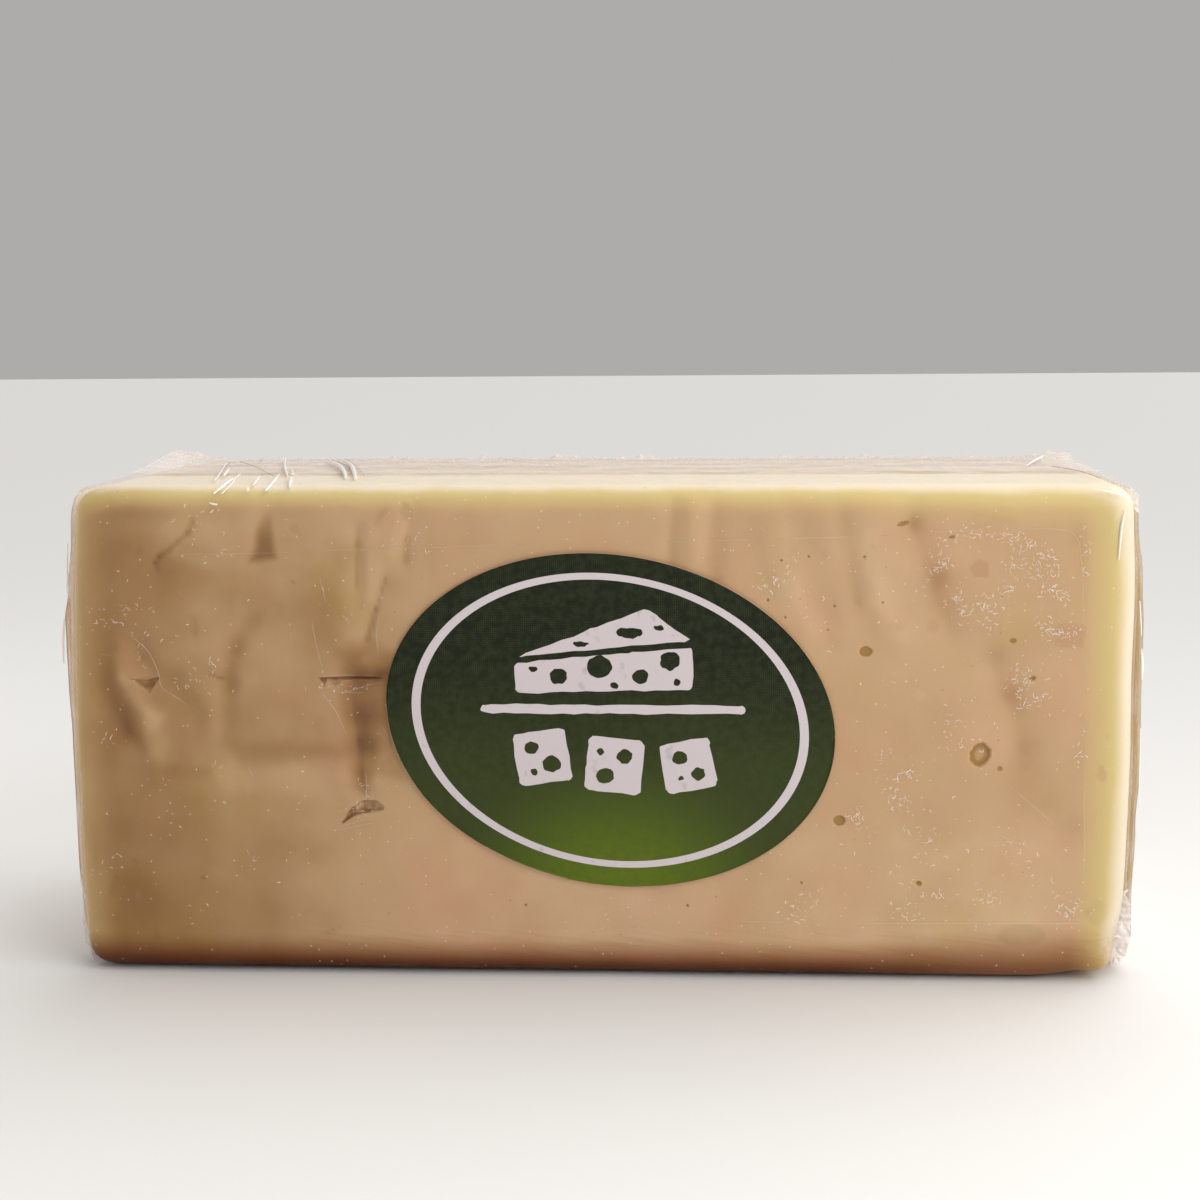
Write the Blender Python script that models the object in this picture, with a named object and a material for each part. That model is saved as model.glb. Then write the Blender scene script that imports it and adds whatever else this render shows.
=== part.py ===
"""A block of kashkaval cheese sealed in a clear film pouch, with one oval sticker.

Metres, +Z up. The origin is the middle of the base, under the middle of the whole pack.
The large face with the sticker looks along -Y, and the pouch's flat back along +Y.
"""

import math

import bmesh
import bpy
from mathutils import Matrix, Vector

# Driving dimensions of the block. Places are measured from the middle of its base.
BLOCK_WIDTH = 0.181
BLOCK_DEPTH = 0.065
BLOCK_HEIGHT = 0.0860
EDGE_RADIUS = 0.0032
EDGE_SEGMENTS = 3
GRID_STEP = 0.0065
FRONT_CUTS_PER_STEP = 3

# Each side leans out towards the base and bellies out half way up.
LEFT_SIDE = {"lean": 0.0010, "belly": 0.0016}
RIGHT_SIDE = {"lean": 0.0001, "belly": 0.0008}

# The pouch's top rim is folded forward and lies flat on the block.
TOP_FOLD_EDGE_Y = -0.0070
TOP_FOLD_RISE = 0.0004
TOP_FOLD_RAMP = 0.0006
TOP_FOLD_WAVE = {"height": 0.0005, "length": 0.132}
TOP_FOLD_FINE_STRIP = {"ahead": 0.0016, "behind": 0.0024, "cuts": 4}

# The side rims are folded forward too and spring a little off the sides. Each has its
# spring at the base and at the top, and one place where it bulges out.
RIM_SHEET = 0.0006
RIM_ROOT_Y = 0.0285
RIM_ROOT_INSET = 0.0020
RIM_FREE_Y = -0.0270
RIM_CURL = 1.3
RIM_LEFT = {
    "side": -1,
    "low_spring": 0.0048,
    "high_spring": 0.0014,
    "bulge": {"z": 0.060, "reach": 0.014, "rise": 0.0009},
}
RIM_RIGHT = {
    "side": 1,
    "low_spring": 0.0014,
    "high_spring": 0.0002,
    "bulge": {"z": 0.052, "reach": 0.026, "rise": 0.0012},
}
RIM_LOW = 0.0010
RIM_HIGH = BLOCK_HEIGHT - 0.0014
RIM_LOW_CORNER = 0.0070
RIM_HIGH_CORNER = 0.0050
RIM_STEPS = (10, 20)

# Places where a corner is pulled out or pressed in: the film stands up in a peak at
# the two back corners of the top, and the front corner at the lower right is pressed in.
CORNER_PULLS = [
    {
        "at": (-0.0885, 0.0285, 0.0855),
        "pull": (-0.0024, 0.0, 0.0020),
        "reach": (0.0048, 0.0220, 0.0048),
    },
    {
        "at": (0.0870, 0.0285, 0.0855),
        "pull": (0.0010, 0.0, 0.0008),
        "reach": (0.0060, 0.0060, 0.0060),
    },
    {
        "at": (0.0905, -0.0325, 0.0),
        "pull": (-0.0010, 0.0010, 0.0018),
        "reach": (0.0100, 0.0140, 0.0110),
    },
]

# The sticker: a plain oval that leans clockwise.
LABEL_CENTRE = (0.0024, 0.0458)
LABEL_HALF_LENGTH = 0.0386
LABEL_HALF_HEIGHT = 0.0287
LABEL_LEAN = math.radians(-9.7)
LABEL_SHEET = 0.0004
LABEL_GAP = 0.0003
LABEL_SIDES = 64

# Folds and channels of the large front face: both ends as (x, z), half width, and
# depth. A negative depth is a ridge.
FRONT_FOLDS = [
    ((-0.0557, 0.0815), (-0.0574, 0.0740), 0.0022, 0.0009),
    ((-0.0740, 0.0715), (-0.0749, 0.0745), 0.0014, 0.0004),
    ((-0.0749, 0.0745), (-0.0660, 0.0820), 0.0014, 0.0005),
    ((-0.0632, 0.0643), (-0.0643, 0.0373), 0.0040, 0.0007),
    ((-0.0404, 0.0811), (-0.0401, 0.0715), 0.0016, 0.0007),
    ((-0.0360, 0.0751), (-0.0404, 0.0596), 0.0017, 0.0008),
    ((-0.0320, 0.0833), (-0.0316, 0.0727), 0.0015, 0.0006),
    ((-0.0400, 0.0515), (-0.0403, 0.0320), 0.0026, 0.0014),
    ((-0.0855, 0.0546), (-0.0840, 0.0497), 0.0026, 0.0011),
    ((-0.0840, 0.0497), (-0.0811, 0.0447), 0.0025, 0.0012),
    ((-0.0828, 0.0593), (-0.0805, 0.0515), 0.0022, -0.0007),
    ((-0.0800, 0.0505), (-0.0755, 0.0430), 0.0026, -0.0008),
    ((-0.0750, 0.0400), (-0.0743, 0.0350), 0.0028, -0.0005),
    ((-0.0745, 0.0530), (-0.0700, 0.0430), 0.0035, 0.0006),
    ((0.0121, 0.0810), (0.0137, 0.0739), 0.0018, 0.0007),
    ((0.0201, 0.0830), (0.0209, 0.0770), 0.0022, -0.0005),
    ((0.0341, 0.0810), (0.0389, 0.0632), 0.0028, 0.0006),
    ((0.0421, 0.0786), (0.0481, 0.0598), 0.0032, -0.0006),
    ((0.0520, 0.0831), (0.0609, 0.0633), 0.0030, 0.0009),
    ((0.0673, 0.0575), (0.0705, 0.0443), 0.0034, 0.0008),
]
BACK_FOLDS = [
    ((-0.0620, 0.0700), (-0.0560, 0.0480), 0.0034, 0.0007),
    ((-0.0180, 0.0640), (-0.0120, 0.0300), 0.0040, 0.0007),
    ((0.0080, 0.0740), (0.0130, 0.0520), 0.0030, -0.0005),
    ((0.0380, 0.0600), (0.0420, 0.0250), 0.0038, 0.0008),
    ((0.0650, 0.0720), (0.0600, 0.0500), 0.0030, 0.0006),
]

# Eyes: centre as (x, z), half width, half height.
FRONT_EYES = [
    (0.0652, 0.0403, 0.0019, 0.0024),
    (0.0458, 0.0580, 0.0012, 0.0011),
    (0.0416, 0.0286, 0.0011, 0.0011),
    (0.0703, 0.0599, 0.0008, 0.0008),
    (0.0737, 0.0535, 0.0009, 0.0007),
    (0.0686, 0.0379, 0.0007, 0.0007),
    (0.0553, 0.0176, 0.0006, 0.0006),
    (0.0517, 0.0796, 0.0014, 0.0007),
]
BACK_EYES = [
    (-0.0410, 0.0610, 0.0016, 0.0014),
    (-0.0270, 0.0240, 0.0010, 0.0010),
    (0.0240, 0.0520, 0.0012, 0.0015),
    (0.0570, 0.0330, 0.0009, 0.0009),
]
EYE_DEPTH_RATIO = 1.1

# Notches in the large front face.
SLIT = {"from": (-0.0479, 0.0528), "to": (-0.0361, 0.0528), "height": 0.0010, "depth": 0.0022}
CAVITY = {"from": (-0.0446, 0.0273), "to": (-0.0369, 0.0312), "height": 0.0034, "depth": 0.0030}
TRIANGLE = {
    "centre": (-0.0782, 0.0520),
    "radius": 0.0027,
    "floor_radius": 0.0013,
    "depth": 0.0016,
    "turn": math.radians(60),
    "flatness": 0.6,
}

# The left rim stands out further than the right one, so the finished pieces are moved
# to bring the middle of the whole pack over the origin.
TO_PACK_MIDDLE = (0.0010, 0.0003, 0.0)

SHARP_ANGLE = math.radians(40)
FRONT_Y = -BLOCK_DEPTH / 2
BACK_Y = BLOCK_DEPTH / 2


def smooth_step(low, high, value):
    t = min(max((value - low) / (high - low), 0.0), 1.0)
    return t * t * (3 - 2 * t)


def distance_to_line(point, start, end):
    point, start, end = Vector(point), Vector(start), Vector(end)
    along = end - start
    t = min(max((point - start).dot(along) / along.length_squared, 0.0), 1.0)
    return (point - start - along * t).length


def fold_depth(x, z, folds):
    """How far a large face lies inside its plane at this place."""
    depth = 0.0
    for start, end, half_width, amount in folds:
        reach = distance_to_line((x, z), start, end) / half_width
        depth += amount * math.exp(-(reach**2))
    return depth


def side_place(x, z):
    """Moves a point out with the side that it is nearer to."""
    level = z / BLOCK_HEIGHT
    shape = LEFT_SIDE if x < 0 else RIGHT_SIDE
    outward = shape["lean"] * (1 - 2 * level) + shape["belly"] * 4 * level * (1 - level)
    return x * (1 + outward / (BLOCK_WIDTH / 2))


def settle(point):
    """Turns a point of the even box into the same point of the pressed, wrapped block."""
    x, y, z = point
    x = side_place(x, z)

    in_front = 1 - smooth_step(FRONT_Y, FRONT_Y + 2 * EDGE_RADIUS, y)
    in_back = smooth_step(BACK_Y - 2 * EDGE_RADIUS, BACK_Y, y)
    y += fold_depth(x, z, FRONT_FOLDS) * in_front
    y -= fold_depth(x, z, BACK_FOLDS) * in_back

    on_top = smooth_step(BLOCK_HEIGHT - 2 * EDGE_RADIUS, BLOCK_HEIGHT, z)
    turn = 2 * math.pi * x / TOP_FOLD_WAVE["length"]
    fold_edge = TOP_FOLD_EDGE_Y + TOP_FOLD_WAVE["height"] * math.sin(turn)
    z += TOP_FOLD_RISE * on_top * smooth_step(fold_edge, fold_edge + TOP_FOLD_RAMP, y)
    place = Vector((x, y, z))
    for corner in CORNER_PULLS:
        away = [(p - c) / r for p, c, r in zip(place, corner["at"], corner["reach"])]
        place += Vector(corner["pull"]) * math.exp(-sum(value**2 for value in away))
    return place


def cut_across(bm, faces, axis, start, stop, count):
    """Cuts the chosen faces into so many even strips across one axis."""
    for i in range(1, count):
        place = start + (stop - start) * i / count
        chosen = faces(bm)
        edges = {edge for face in chosen for edge in face.edges}
        verts = {vert for face in chosen for vert in face.verts}
        bmesh.ops.bisect_plane(
            bm,
            geom=list(verts) + list(edges) + chosen,
            plane_co=Vector(axis) * place,
            plane_no=axis,
            dist=1e-6,
        )


def all_faces(bm):
    return bm.faces[:]


def front_faces(bm):
    bm.normal_update()
    return [face for face in bm.faces if face.normal.y < -0.9]


def top_faces(bm):
    bm.normal_update()
    return [face for face in bm.faces if face.normal.z > 0.9]


def wrapped_block():
    bm = bmesh.new()
    bmesh.ops.create_cube(bm, size=1.0)
    bmesh.ops.scale(bm, vec=(BLOCK_WIDTH, BLOCK_DEPTH, BLOCK_HEIGHT), verts=bm.verts)
    bmesh.ops.translate(bm, vec=(0, 0, BLOCK_HEIGHT / 2), verts=bm.verts)
    bmesh.ops.bevel(
        bm,
        geom=bm.edges[:],
        offset=EDGE_RADIUS,
        segments=EDGE_SEGMENTS,
        profile=0.5,
        affect="EDGES",
    )
    half_width = BLOCK_WIDTH / 2 - EDGE_RADIUS
    half_depth = BLOCK_DEPTH / 2 - EDGE_RADIUS
    low, high = EDGE_RADIUS, BLOCK_HEIGHT - EDGE_RADIUS
    columns = round(2 * half_width / GRID_STEP)
    layers = round(2 * half_depth / GRID_STEP)
    rows = round((high - low) / GRID_STEP)
    finer = FRONT_CUTS_PER_STEP
    cut_across(bm, all_faces, (1, 0, 0), -half_width, half_width, columns)
    cut_across(bm, all_faces, (0, 1, 0), -half_depth, half_depth, layers)
    cut_across(bm, all_faces, (0, 0, 1), low, high, rows)
    cut_across(bm, front_faces, (1, 0, 0), -half_width, half_width, columns * finer)
    cut_across(bm, front_faces, (0, 0, 1), low, high, rows * finer)
    strip = TOP_FOLD_FINE_STRIP
    strip_start = TOP_FOLD_EDGE_Y - strip["ahead"]
    strip_stop = TOP_FOLD_EDGE_Y + strip["behind"]
    cut_across(bm, top_faces, (0, 1, 0), strip_start, strip_stop, strip["cuts"])
    for vert in bm.verts:
        vert.co = settle(vert.co)
    return bm


def corner_inset(z):
    """How much of the free edge its round corner takes away at this height."""
    inset = 0.0
    for end, radius in ((RIM_LOW, RIM_LOW_CORNER), (RIM_HIGH, RIM_HIGH_CORNER)):
        short = max(radius - abs(z - end), 0.0)
        inset += radius - math.sqrt(radius**2 - min(short, radius) ** 2)
    return inset


def rim_sheet(rim):
    """One side rim: a thin sheet rooted in the block near its back and sprung forward."""
    bm = bmesh.new()
    steps_along, steps_up = RIM_STEPS
    bmesh.ops.create_grid(bm, x_segments=steps_along, y_segments=steps_up, size=0.5)
    width = RIM_ROOT_Y - RIM_FREE_Y
    bulge = rim["bulge"]
    for vert in bm.verts:
        along, up = vert.co.x + 0.5, vert.co.y + 0.5
        z = RIM_LOW + (RIM_HIGH - RIM_LOW) * (0.5 - 0.5 * math.cos(math.pi * up))
        reach = along * (1 - corner_inset(z) / width)
        spring = rim["low_spring"] + (rim["high_spring"] - rim["low_spring"]) * z / BLOCK_HEIGHT
        spring += bulge["rise"] * math.exp(-(((z - bulge["z"]) / bulge["reach"]) ** 2))
        offset = (spring + RIM_ROOT_INSET) * reach**RIM_CURL - RIM_ROOT_INSET
        vert.co = Vector((rim["side"] * (BLOCK_WIDTH / 2 + offset), RIM_ROOT_Y - width * reach, z))
    bmesh.ops.recalc_face_normals(bm, faces=bm.faces[:])
    bmesh.ops.solidify(bm, geom=bm.faces[:], thickness=RIM_SHEET)
    bmesh.ops.recalc_face_normals(bm, faces=bm.faces[:])
    return bm


def surface_y(x, z, front):
    """The depth at which a large face lies at this place."""
    if front:
        return FRONT_Y + fold_depth(x, z, FRONT_FOLDS)
    return BACK_Y - fold_depth(x, z, BACK_FOLDS)


def round_cutter(place, size, lean, front=True):
    """An egg shape half sunk in a large face, its long side turned by the lean."""
    x, z = place
    bm = bmesh.new()
    bmesh.ops.create_icosphere(bm, subdivisions=2, radius=1.0)
    bmesh.ops.scale(bm, vec=size, verts=bm.verts)
    bmesh.ops.rotate(bm, verts=bm.verts, matrix=Matrix.Rotation(-lean, 3, "Y"))
    bmesh.ops.translate(bm, vec=(x, surface_y(x, z, front), z), verts=bm.verts)
    return bm


def eye_cutter(eye, front=True):
    x, z, half_width, half_height = eye
    size = (half_width, EYE_DEPTH_RATIO * max(half_width, half_height), half_height)
    return round_cutter((x, z), size, 0.0, front)


def notch_cutter(notch):
    """A long hollow between two points of the front face."""
    start, end = Vector(notch["from"]), Vector(notch["to"])
    along = end - start
    size = (along.length / 2, notch["depth"], notch["height"] / 2)
    return round_cutter((start + end) / 2, size, math.atan2(along.y, along.x))


def triangle_cutter():
    """A shallow three-sided notch of the front face, narrower at its floor."""
    bm = bmesh.new()
    bmesh.ops.create_cone(
        bm,
        cap_ends=True,
        segments=3,
        radius1=TRIANGLE["floor_radius"],
        radius2=TRIANGLE["radius"],
        depth=2 * TRIANGLE["depth"],
    )
    bmesh.ops.rotate(bm, verts=bm.verts, matrix=Matrix.Rotation(math.radians(90), 3, "X"))
    bmesh.ops.rotate(bm, verts=bm.verts, matrix=Matrix.Rotation(TRIANGLE["turn"], 3, "Y"))
    bmesh.ops.scale(bm, vec=(1.0, 1.0, TRIANGLE["flatness"]), verts=bm.verts)
    x, z = TRIANGLE["centre"]
    bmesh.ops.translate(bm, vec=(x, surface_y(x, z, True), z), verts=bm.verts)
    return bm


def oval_sticker():
    bm = bmesh.new()
    bmesh.ops.create_circle(bm, cap_ends=True, segments=LABEL_SIDES, radius=1.0)
    bmesh.ops.scale(bm, vec=(LABEL_HALF_LENGTH, LABEL_HALF_HEIGHT, 1.0), verts=bm.verts)
    bmesh.ops.rotate(bm, verts=bm.verts, matrix=Matrix.Rotation(LABEL_LEAN, 3, "Z"))
    bmesh.ops.rotate(bm, verts=bm.verts, matrix=Matrix.Rotation(math.radians(90), 3, "X"))
    plane_y = FRONT_Y - LABEL_GAP
    bmesh.ops.translate(bm, vec=(LABEL_CENTRE[0], plane_y, LABEL_CENTRE[1]), verts=bm.verts)
    sheet = bmesh.ops.extrude_face_region(bm, geom=bm.faces[:])
    raised = [item for item in sheet["geom"] if isinstance(item, bmesh.types.BMVert)]
    bmesh.ops.translate(bm, vec=(0, -LABEL_SHEET, 0), verts=raised)
    bmesh.ops.recalc_face_normals(bm, faces=bm.faces[:])
    return bm


def as_object(name, bm, collection):
    mesh = bpy.data.meshes.new(name)
    bm.to_mesh(mesh)
    bm.free()
    result = bpy.data.objects.new(name, mesh)
    collection.objects.link(result)
    return result


def combine(target, pieces, operation):
    """Joins or cuts the target with every piece, applies it, and removes the pieces."""
    helpers = bpy.data.collections.new("helpers")
    bpy.context.scene.collection.children.link(helpers)
    for number, piece in enumerate(pieces):
        as_object(f"helper_{number}", piece, helpers)
    boolean = target.modifiers.new("combine", "BOOLEAN")
    boolean.operation = operation
    boolean.operand_type = "COLLECTION"
    boolean.collection = helpers
    boolean.solver = "EXACT"
    depsgraph = bpy.context.evaluated_depsgraph_get()
    mesh = bpy.data.meshes.new_from_object(target.evaluated_get(depsgraph))
    target.modifiers.clear()
    target.data = mesh
    for helper in list(helpers.objects):
        bpy.data.objects.remove(helper)
    bpy.data.collections.remove(helpers)


def principled(name, colour, roughness, metallic=0.0):
    material = bpy.data.materials.new(name)
    material.use_nodes = True
    shader = material.node_tree.nodes["Principled BSDF"]
    shader.inputs["Base Color"].default_value = (*colour, 1.0)
    shader.inputs["Roughness"].default_value = roughness
    shader.inputs["Metallic"].default_value = metallic
    return material


def finish(target, material):
    target.data.transform(Matrix.Translation(TO_PACK_MIDDLE))
    target.data.materials.clear()
    target.data.materials.append(material)
    target.data.shade_smooth()
    target.data.set_sharp_from_angle(angle=SHARP_ANGLE)


def build():
    for old in list(bpy.data.objects):
        bpy.data.objects.remove(old, do_unlink=True)
    scene = bpy.context.scene.collection

    pack = as_object("cheese_pack", wrapped_block(), scene)
    combine(pack, [rim_sheet(RIM_LEFT), rim_sheet(RIM_RIGHT)], "UNION")
    cutters = [eye_cutter(eye) for eye in FRONT_EYES]
    cutters += [eye_cutter(eye, front=False) for eye in BACK_EYES]
    cutters += [notch_cutter(SLIT), notch_cutter(CAVITY), triangle_cutter()]
    combine(pack, cutters, "DIFFERENCE")
    finish(pack, principled("cheese under film", (0.66, 0.47, 0.27), 0.30))

    label = as_object("label", oval_sticker(), scene)
    finish(label, principled("printed paper", (0.03, 0.07, 0.02), 0.55))


build()
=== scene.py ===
import math
import random

import bmesh
import bpy
from mathutils import Matrix, Vector, noise


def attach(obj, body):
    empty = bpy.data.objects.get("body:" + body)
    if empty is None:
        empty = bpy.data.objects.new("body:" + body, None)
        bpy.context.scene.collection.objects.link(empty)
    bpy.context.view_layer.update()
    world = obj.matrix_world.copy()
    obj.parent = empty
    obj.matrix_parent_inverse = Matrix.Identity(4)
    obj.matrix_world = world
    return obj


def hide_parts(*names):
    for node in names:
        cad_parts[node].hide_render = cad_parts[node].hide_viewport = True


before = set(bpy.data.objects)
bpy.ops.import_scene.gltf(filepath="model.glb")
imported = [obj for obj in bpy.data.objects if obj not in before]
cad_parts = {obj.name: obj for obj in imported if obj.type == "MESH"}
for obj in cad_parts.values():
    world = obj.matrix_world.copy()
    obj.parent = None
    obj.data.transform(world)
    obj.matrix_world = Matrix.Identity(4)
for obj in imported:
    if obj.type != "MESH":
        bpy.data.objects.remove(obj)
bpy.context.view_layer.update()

noise.seed_set(6)  # the bends of the folds are the same in each run

# Places and sizes below are in millimetres, measured from the middle of the block's base.
mm = 0.001
packMiddle = Vector((1.0, 0.3, 0.0)) * mm  # where that middle lies in the frame


# Where the picture is taken from, in millimetres and degrees.
camera = {
    "place": (25.4, -331.0, 112.1),
    "lens": 53.73,  # on a sensor 36 mm wide
    "pitch": 8.62,
    "yaw": 3.38,
    "roll": -0.44,
    "shift": -0.0333,
}


def addObject(name, data):
    thing = bpy.data.objects.new(name, data)
    bpy.context.scene.collection.objects.link(thing)
    return thing


def makeCamera():
    data = bpy.data.cameras.new("camera")
    data.sensor_width = 36.0
    data.lens = camera["lens"]
    data.shift_x = camera["shift"]
    data.clip_start = 0.01
    view = addObject("camera", data)
    turn = Matrix.Rotation(math.radians(camera["yaw"]), 4, "Z")
    tilt = Matrix.Rotation(math.radians(90 - camera["pitch"]), 4, "X")
    roll = Matrix.Rotation(math.radians(camera["roll"]), 4, "Z")
    place = Matrix.Translation(Vector(camera["place"]) * mm + packMiddle)
    view.matrix_world = place @ turn @ tilt @ roll
    bpy.context.scene.camera = view


makeCamera()
print("camera placed")


# The wrapped block, whose shape the cheese and its film share.
block = {
    "size": (181.0, 65.0, 86.0),
    "left": {"lean": 1.0, "belly": 1.6},  # the sides lean out to the base and belly out
    "right": {"lean": 0.1, "belly": 0.8},
    "cuts": (110, 40, 52),
    "frontCuts": 2,
    "unevenness": 0.22,
    "ripple": 0.2,
    "faceReach": 6.5,  # how far the unevenness of front and back goes round their edges
    "endReach": 3.0,
}

# Soft folds of the front: x and z of both ends, half width, depth. A ridge is negative.
wander = {"wide": (1.0, 0.09, 31.0), "fine": (0.35, 0.35, 47.0)}  # how far a fold strays, pitch, seed
frontFolds = [
    (-54.3, 82.6, -57.6, 74, 2.2, 0.45), (-75.3, 73, -74.6, 74.1, 1.1, 0.2),
    (-74.6, 74.1, -68.6, 79.9, 1.1, 0.3), (-60.5, 62, -63.6, 52, 2.2, 0.3),
    (-63.6, 52, -64.2, 41.1, 2.4, 0.35), (-66.8, 60, -67.4, 44, 2.6, -0.2),
    (-62, 39.6, -46, 40.4, 2.4, 0.3), (-40, 79.1, -40.6, 66, 1.5, 0.4), (-35.6, 72, -39.1, 59.4, 1.5, 0.45),
    (-37.6, 80, -38, 70, 1.5, -0.25), (-30.6, 82, -32.6, 72.7, 1.6, 0.35),
    (-33.6, 80, -35.2, 72, 1.4, -0.2), (-40.2, 53, -40.2, 31.4, 2, 0.45), (-36.2, 53, -36, 38, 2.6, 0.35),
    (-44.8, 50, -44.6, 36, 2, -0.2), (-85.3, 54, -83.6, 47.2, 2.3, 0.48),
    (-83.6, 47.2, -79.4, 42.6, 2.3, 0.52), (-82.9, 59, -82.3, 54, 1.6, -0.45),
    (-82.3, 54, -77.9, 46.4, 2, -0.55), (-77.9, 46.4, -76.4, 36, 2.4, -0.5),
    (-79, 58, -76.8, 53.8, 1.8, 0.6), (-73.8, 52.2, -69.6, 46, 2.2, 0.45),
    (-71.6, 46.6, -71.2, 38, 1.8, -0.2), (13.2, 83.3, 13.2, 72.7, 1.5, 0.35),
    (16.8, 82, 16.9, 72.7, 1.6, -0.25), (20.2, 82.7, 20.6, 70.4, 1.8, 0.3), (34.1, 81, 39.6, 60, 2.6, 0.35),
    (29.8, 78, 35.5, 64, 2.4, -0.25), (45.2, 79.6, 50.2, 60, 3.2, -0.35), (41, 82, 44.6, 67, 2.2, 0.25),
    (51.9, 86, 54.2, 77.4, 2, 0.22), (54.2, 77.4, 60, 62, 3.4, 0.22), (67.3, 58.5, 72.5, 44, 3.6, 0.22),
    (73, 44, 79, 28, 4, 0.3), (61.5, 48, 66, 34, 4, -0.2), (-30, 14, -26, 4, 5, -0.15),
    (0, 12, 2, 3, 3, 0.15),
]
backFolds = [
    (-62, 70, -56, 48, 3.4, 0.7), (-18, 64, -12, 30, 4, 0.7), (8, 74, 13, 52, 3, -0.5),
    (38, 60, 42, 25, 3.8, 0.8), (65, 72, 60, 50, 3, 0.6),
]

# The film stands up at the two back corners of the top, and the front corner at the
# lower right is pressed in. Place, pull, and reach of each.
filmPeaks = [
    ((-88.5, 28.5, 85.5), (-2.4, 0.0, 2.0), (4.8, 22.0, 4.8)),
    ((87.0, 28.5, 85.5), (1.0, 0.0, 0.8), (6.0, 6.0, 6.0)),
]
pressedCorner = [
    ((90.5, -32.5, 0.0), (-1.7, 1.0, 1.8), (9.0, 14.0, 10.0)),
    ((87.5, -30.5, 2.2), (1.1, -0.6, -0.9), (3.0, 4.0, 2.6)),
]
lowest = -0.08


def smoothStep(low, high, value):  # also falls, where low is the greater
    t = min(max((value - low) / (high - low), 0.0), 1.0)
    return t * t * (3 - 2 * t)


def waveAt(x, y, z):
    return noise.noise(Vector((x, y, z)))


def softLines(x, z, lines):
    total = 0.0
    for x0, z0, x1, z1, halfWidth, amount in lines:
        far = 2.6 * halfWidth
        if x < min(x0, x1) - far or x > max(x0, x1) + far:
            continue
        if z < min(z0, z1) - far or z > max(z0, z1) + far:
            continue
        dx, dz = x1 - x0, z1 - z0
        t = min(max(((x - x0) * dx + (z - z0) * dz) / (dx * dx + dz * dz + 1e-9), 0.0), 1.0)
        reach = math.hypot(x - x0 - t * dx, z - z0 - t * dz) / halfWidth
        total += amount * math.exp(-reach * reach)
    return total


def pulledBy(point, corners):
    moved = point.copy()
    for place, pull, reach in corners:
        away = sum(((p - c) / r) ** 2 for p, c, r in zip(point, place, reach))
        moved += Vector(pull) * math.exp(-away)
    return moved


def sidePlace(x, z):
    level = z / block["size"][2]
    side = block["left"] if x < 0 else block["right"]
    outward = side["lean"] * (1 - 2 * level) + side["belly"] * 4 * level * (1 - level)
    return x * (1 + outward / (block["size"][0] / 2))


def strayed(x, z):
    away = Vector()
    for far, pitch, seed in wander.values():
        away += noise.noise_vector(Vector((x * pitch, seed, z * pitch))) * far
    return x + away.x, z + away.z


def faceDepth(x, z, front=True):
    wave = waveAt(x * 0.045, 7.0 if front else 19.0, z * 0.06)
    ripple = block["ripple"] * waveAt(x * 0.14, 3.0, z * 0.08)
    lines = softLines(*strayed(x, z), frontFolds if front else backFolds)
    return lines + block["unevenness"] * (wave + ripple)


# A point of the even cube, turned into the point of the wrapped block with that rounding.
def wrappedPoint(unit, rounding, grow):
    size, radii = Vector(block["size"]), Vector(rounding)
    half = size / 2
    point = Vector(u * s for u, s in zip(unit, size))
    core = Vector(min(max(p, r - h), h - r) for p, h, r in zip(point, half, radii))
    out = Vector((p - c) / r for p, c, r in zip(point, core, radii))
    if out.length > 0:
        out.normalize()
    even = core + Vector(o * (r + grow) for o, r in zip(out, radii))
    even.z += half.z
    x, y, z = sidePlace(even.x, even.z), even.y, even.z
    atEnd = smoothStep(half.x - block["endReach"], half.x, abs(even.x))
    wave = waveAt(math.copysign(9, x), y * 0.07, z * 0.05)
    x += 2 * block["unevenness"] * atEnd * wave
    inFront = 1 - smoothStep(-half.y, -half.y + block["faceReach"], y)
    inBack = smoothStep(half.y - block["faceReach"], half.y, y)
    y += faceDepth(x, z) * inFront if inFront > 0 else 0.0
    y -= faceDepth(x, z, front=False) * inBack if inBack > 0 else 0.0
    return Vector((x, y, z)), even


def dividedCube(cuts):
    bm = bmesh.new()
    bmesh.ops.create_cube(bm, size=1.0)
    for axis, count in enumerate(cuts):
        across = [e for e in bm.edges if abs(e.verts[0].co[axis] - e.verts[1].co[axis]) > 1e-6]
        bmesh.ops.subdivide_edges(bm, edges=across, cuts=count, use_grid_fill=True)
    return bm


def finer(bm, chosen, cuts):
    edges = dict.fromkeys(edge for face in bm.faces if chosen(face) for edge in face.edges)
    bmesh.ops.subdivide_edges(bm, edges=list(edges), cuts=cuts, use_grid_fill=True)


def isFront(face):
    return all(vert.co.y < -0.499 for vert in face.verts)


def makePiece(name, bm, fields=None, smooth=True):
    mesh = bpy.data.meshes.new(name)
    bm.to_mesh(mesh)
    bm.free()
    mesh.transform(Matrix.Translation(packMiddle) @ Matrix.Scale(mm, 4))
    for field, values in (fields or {}).items():
        mesh.attributes.new(field, "FLOAT", "POINT").data.foreach_set("value", values)
    if smooth:
        mesh.shade_smooth()
    return addObject(name, mesh)


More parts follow.
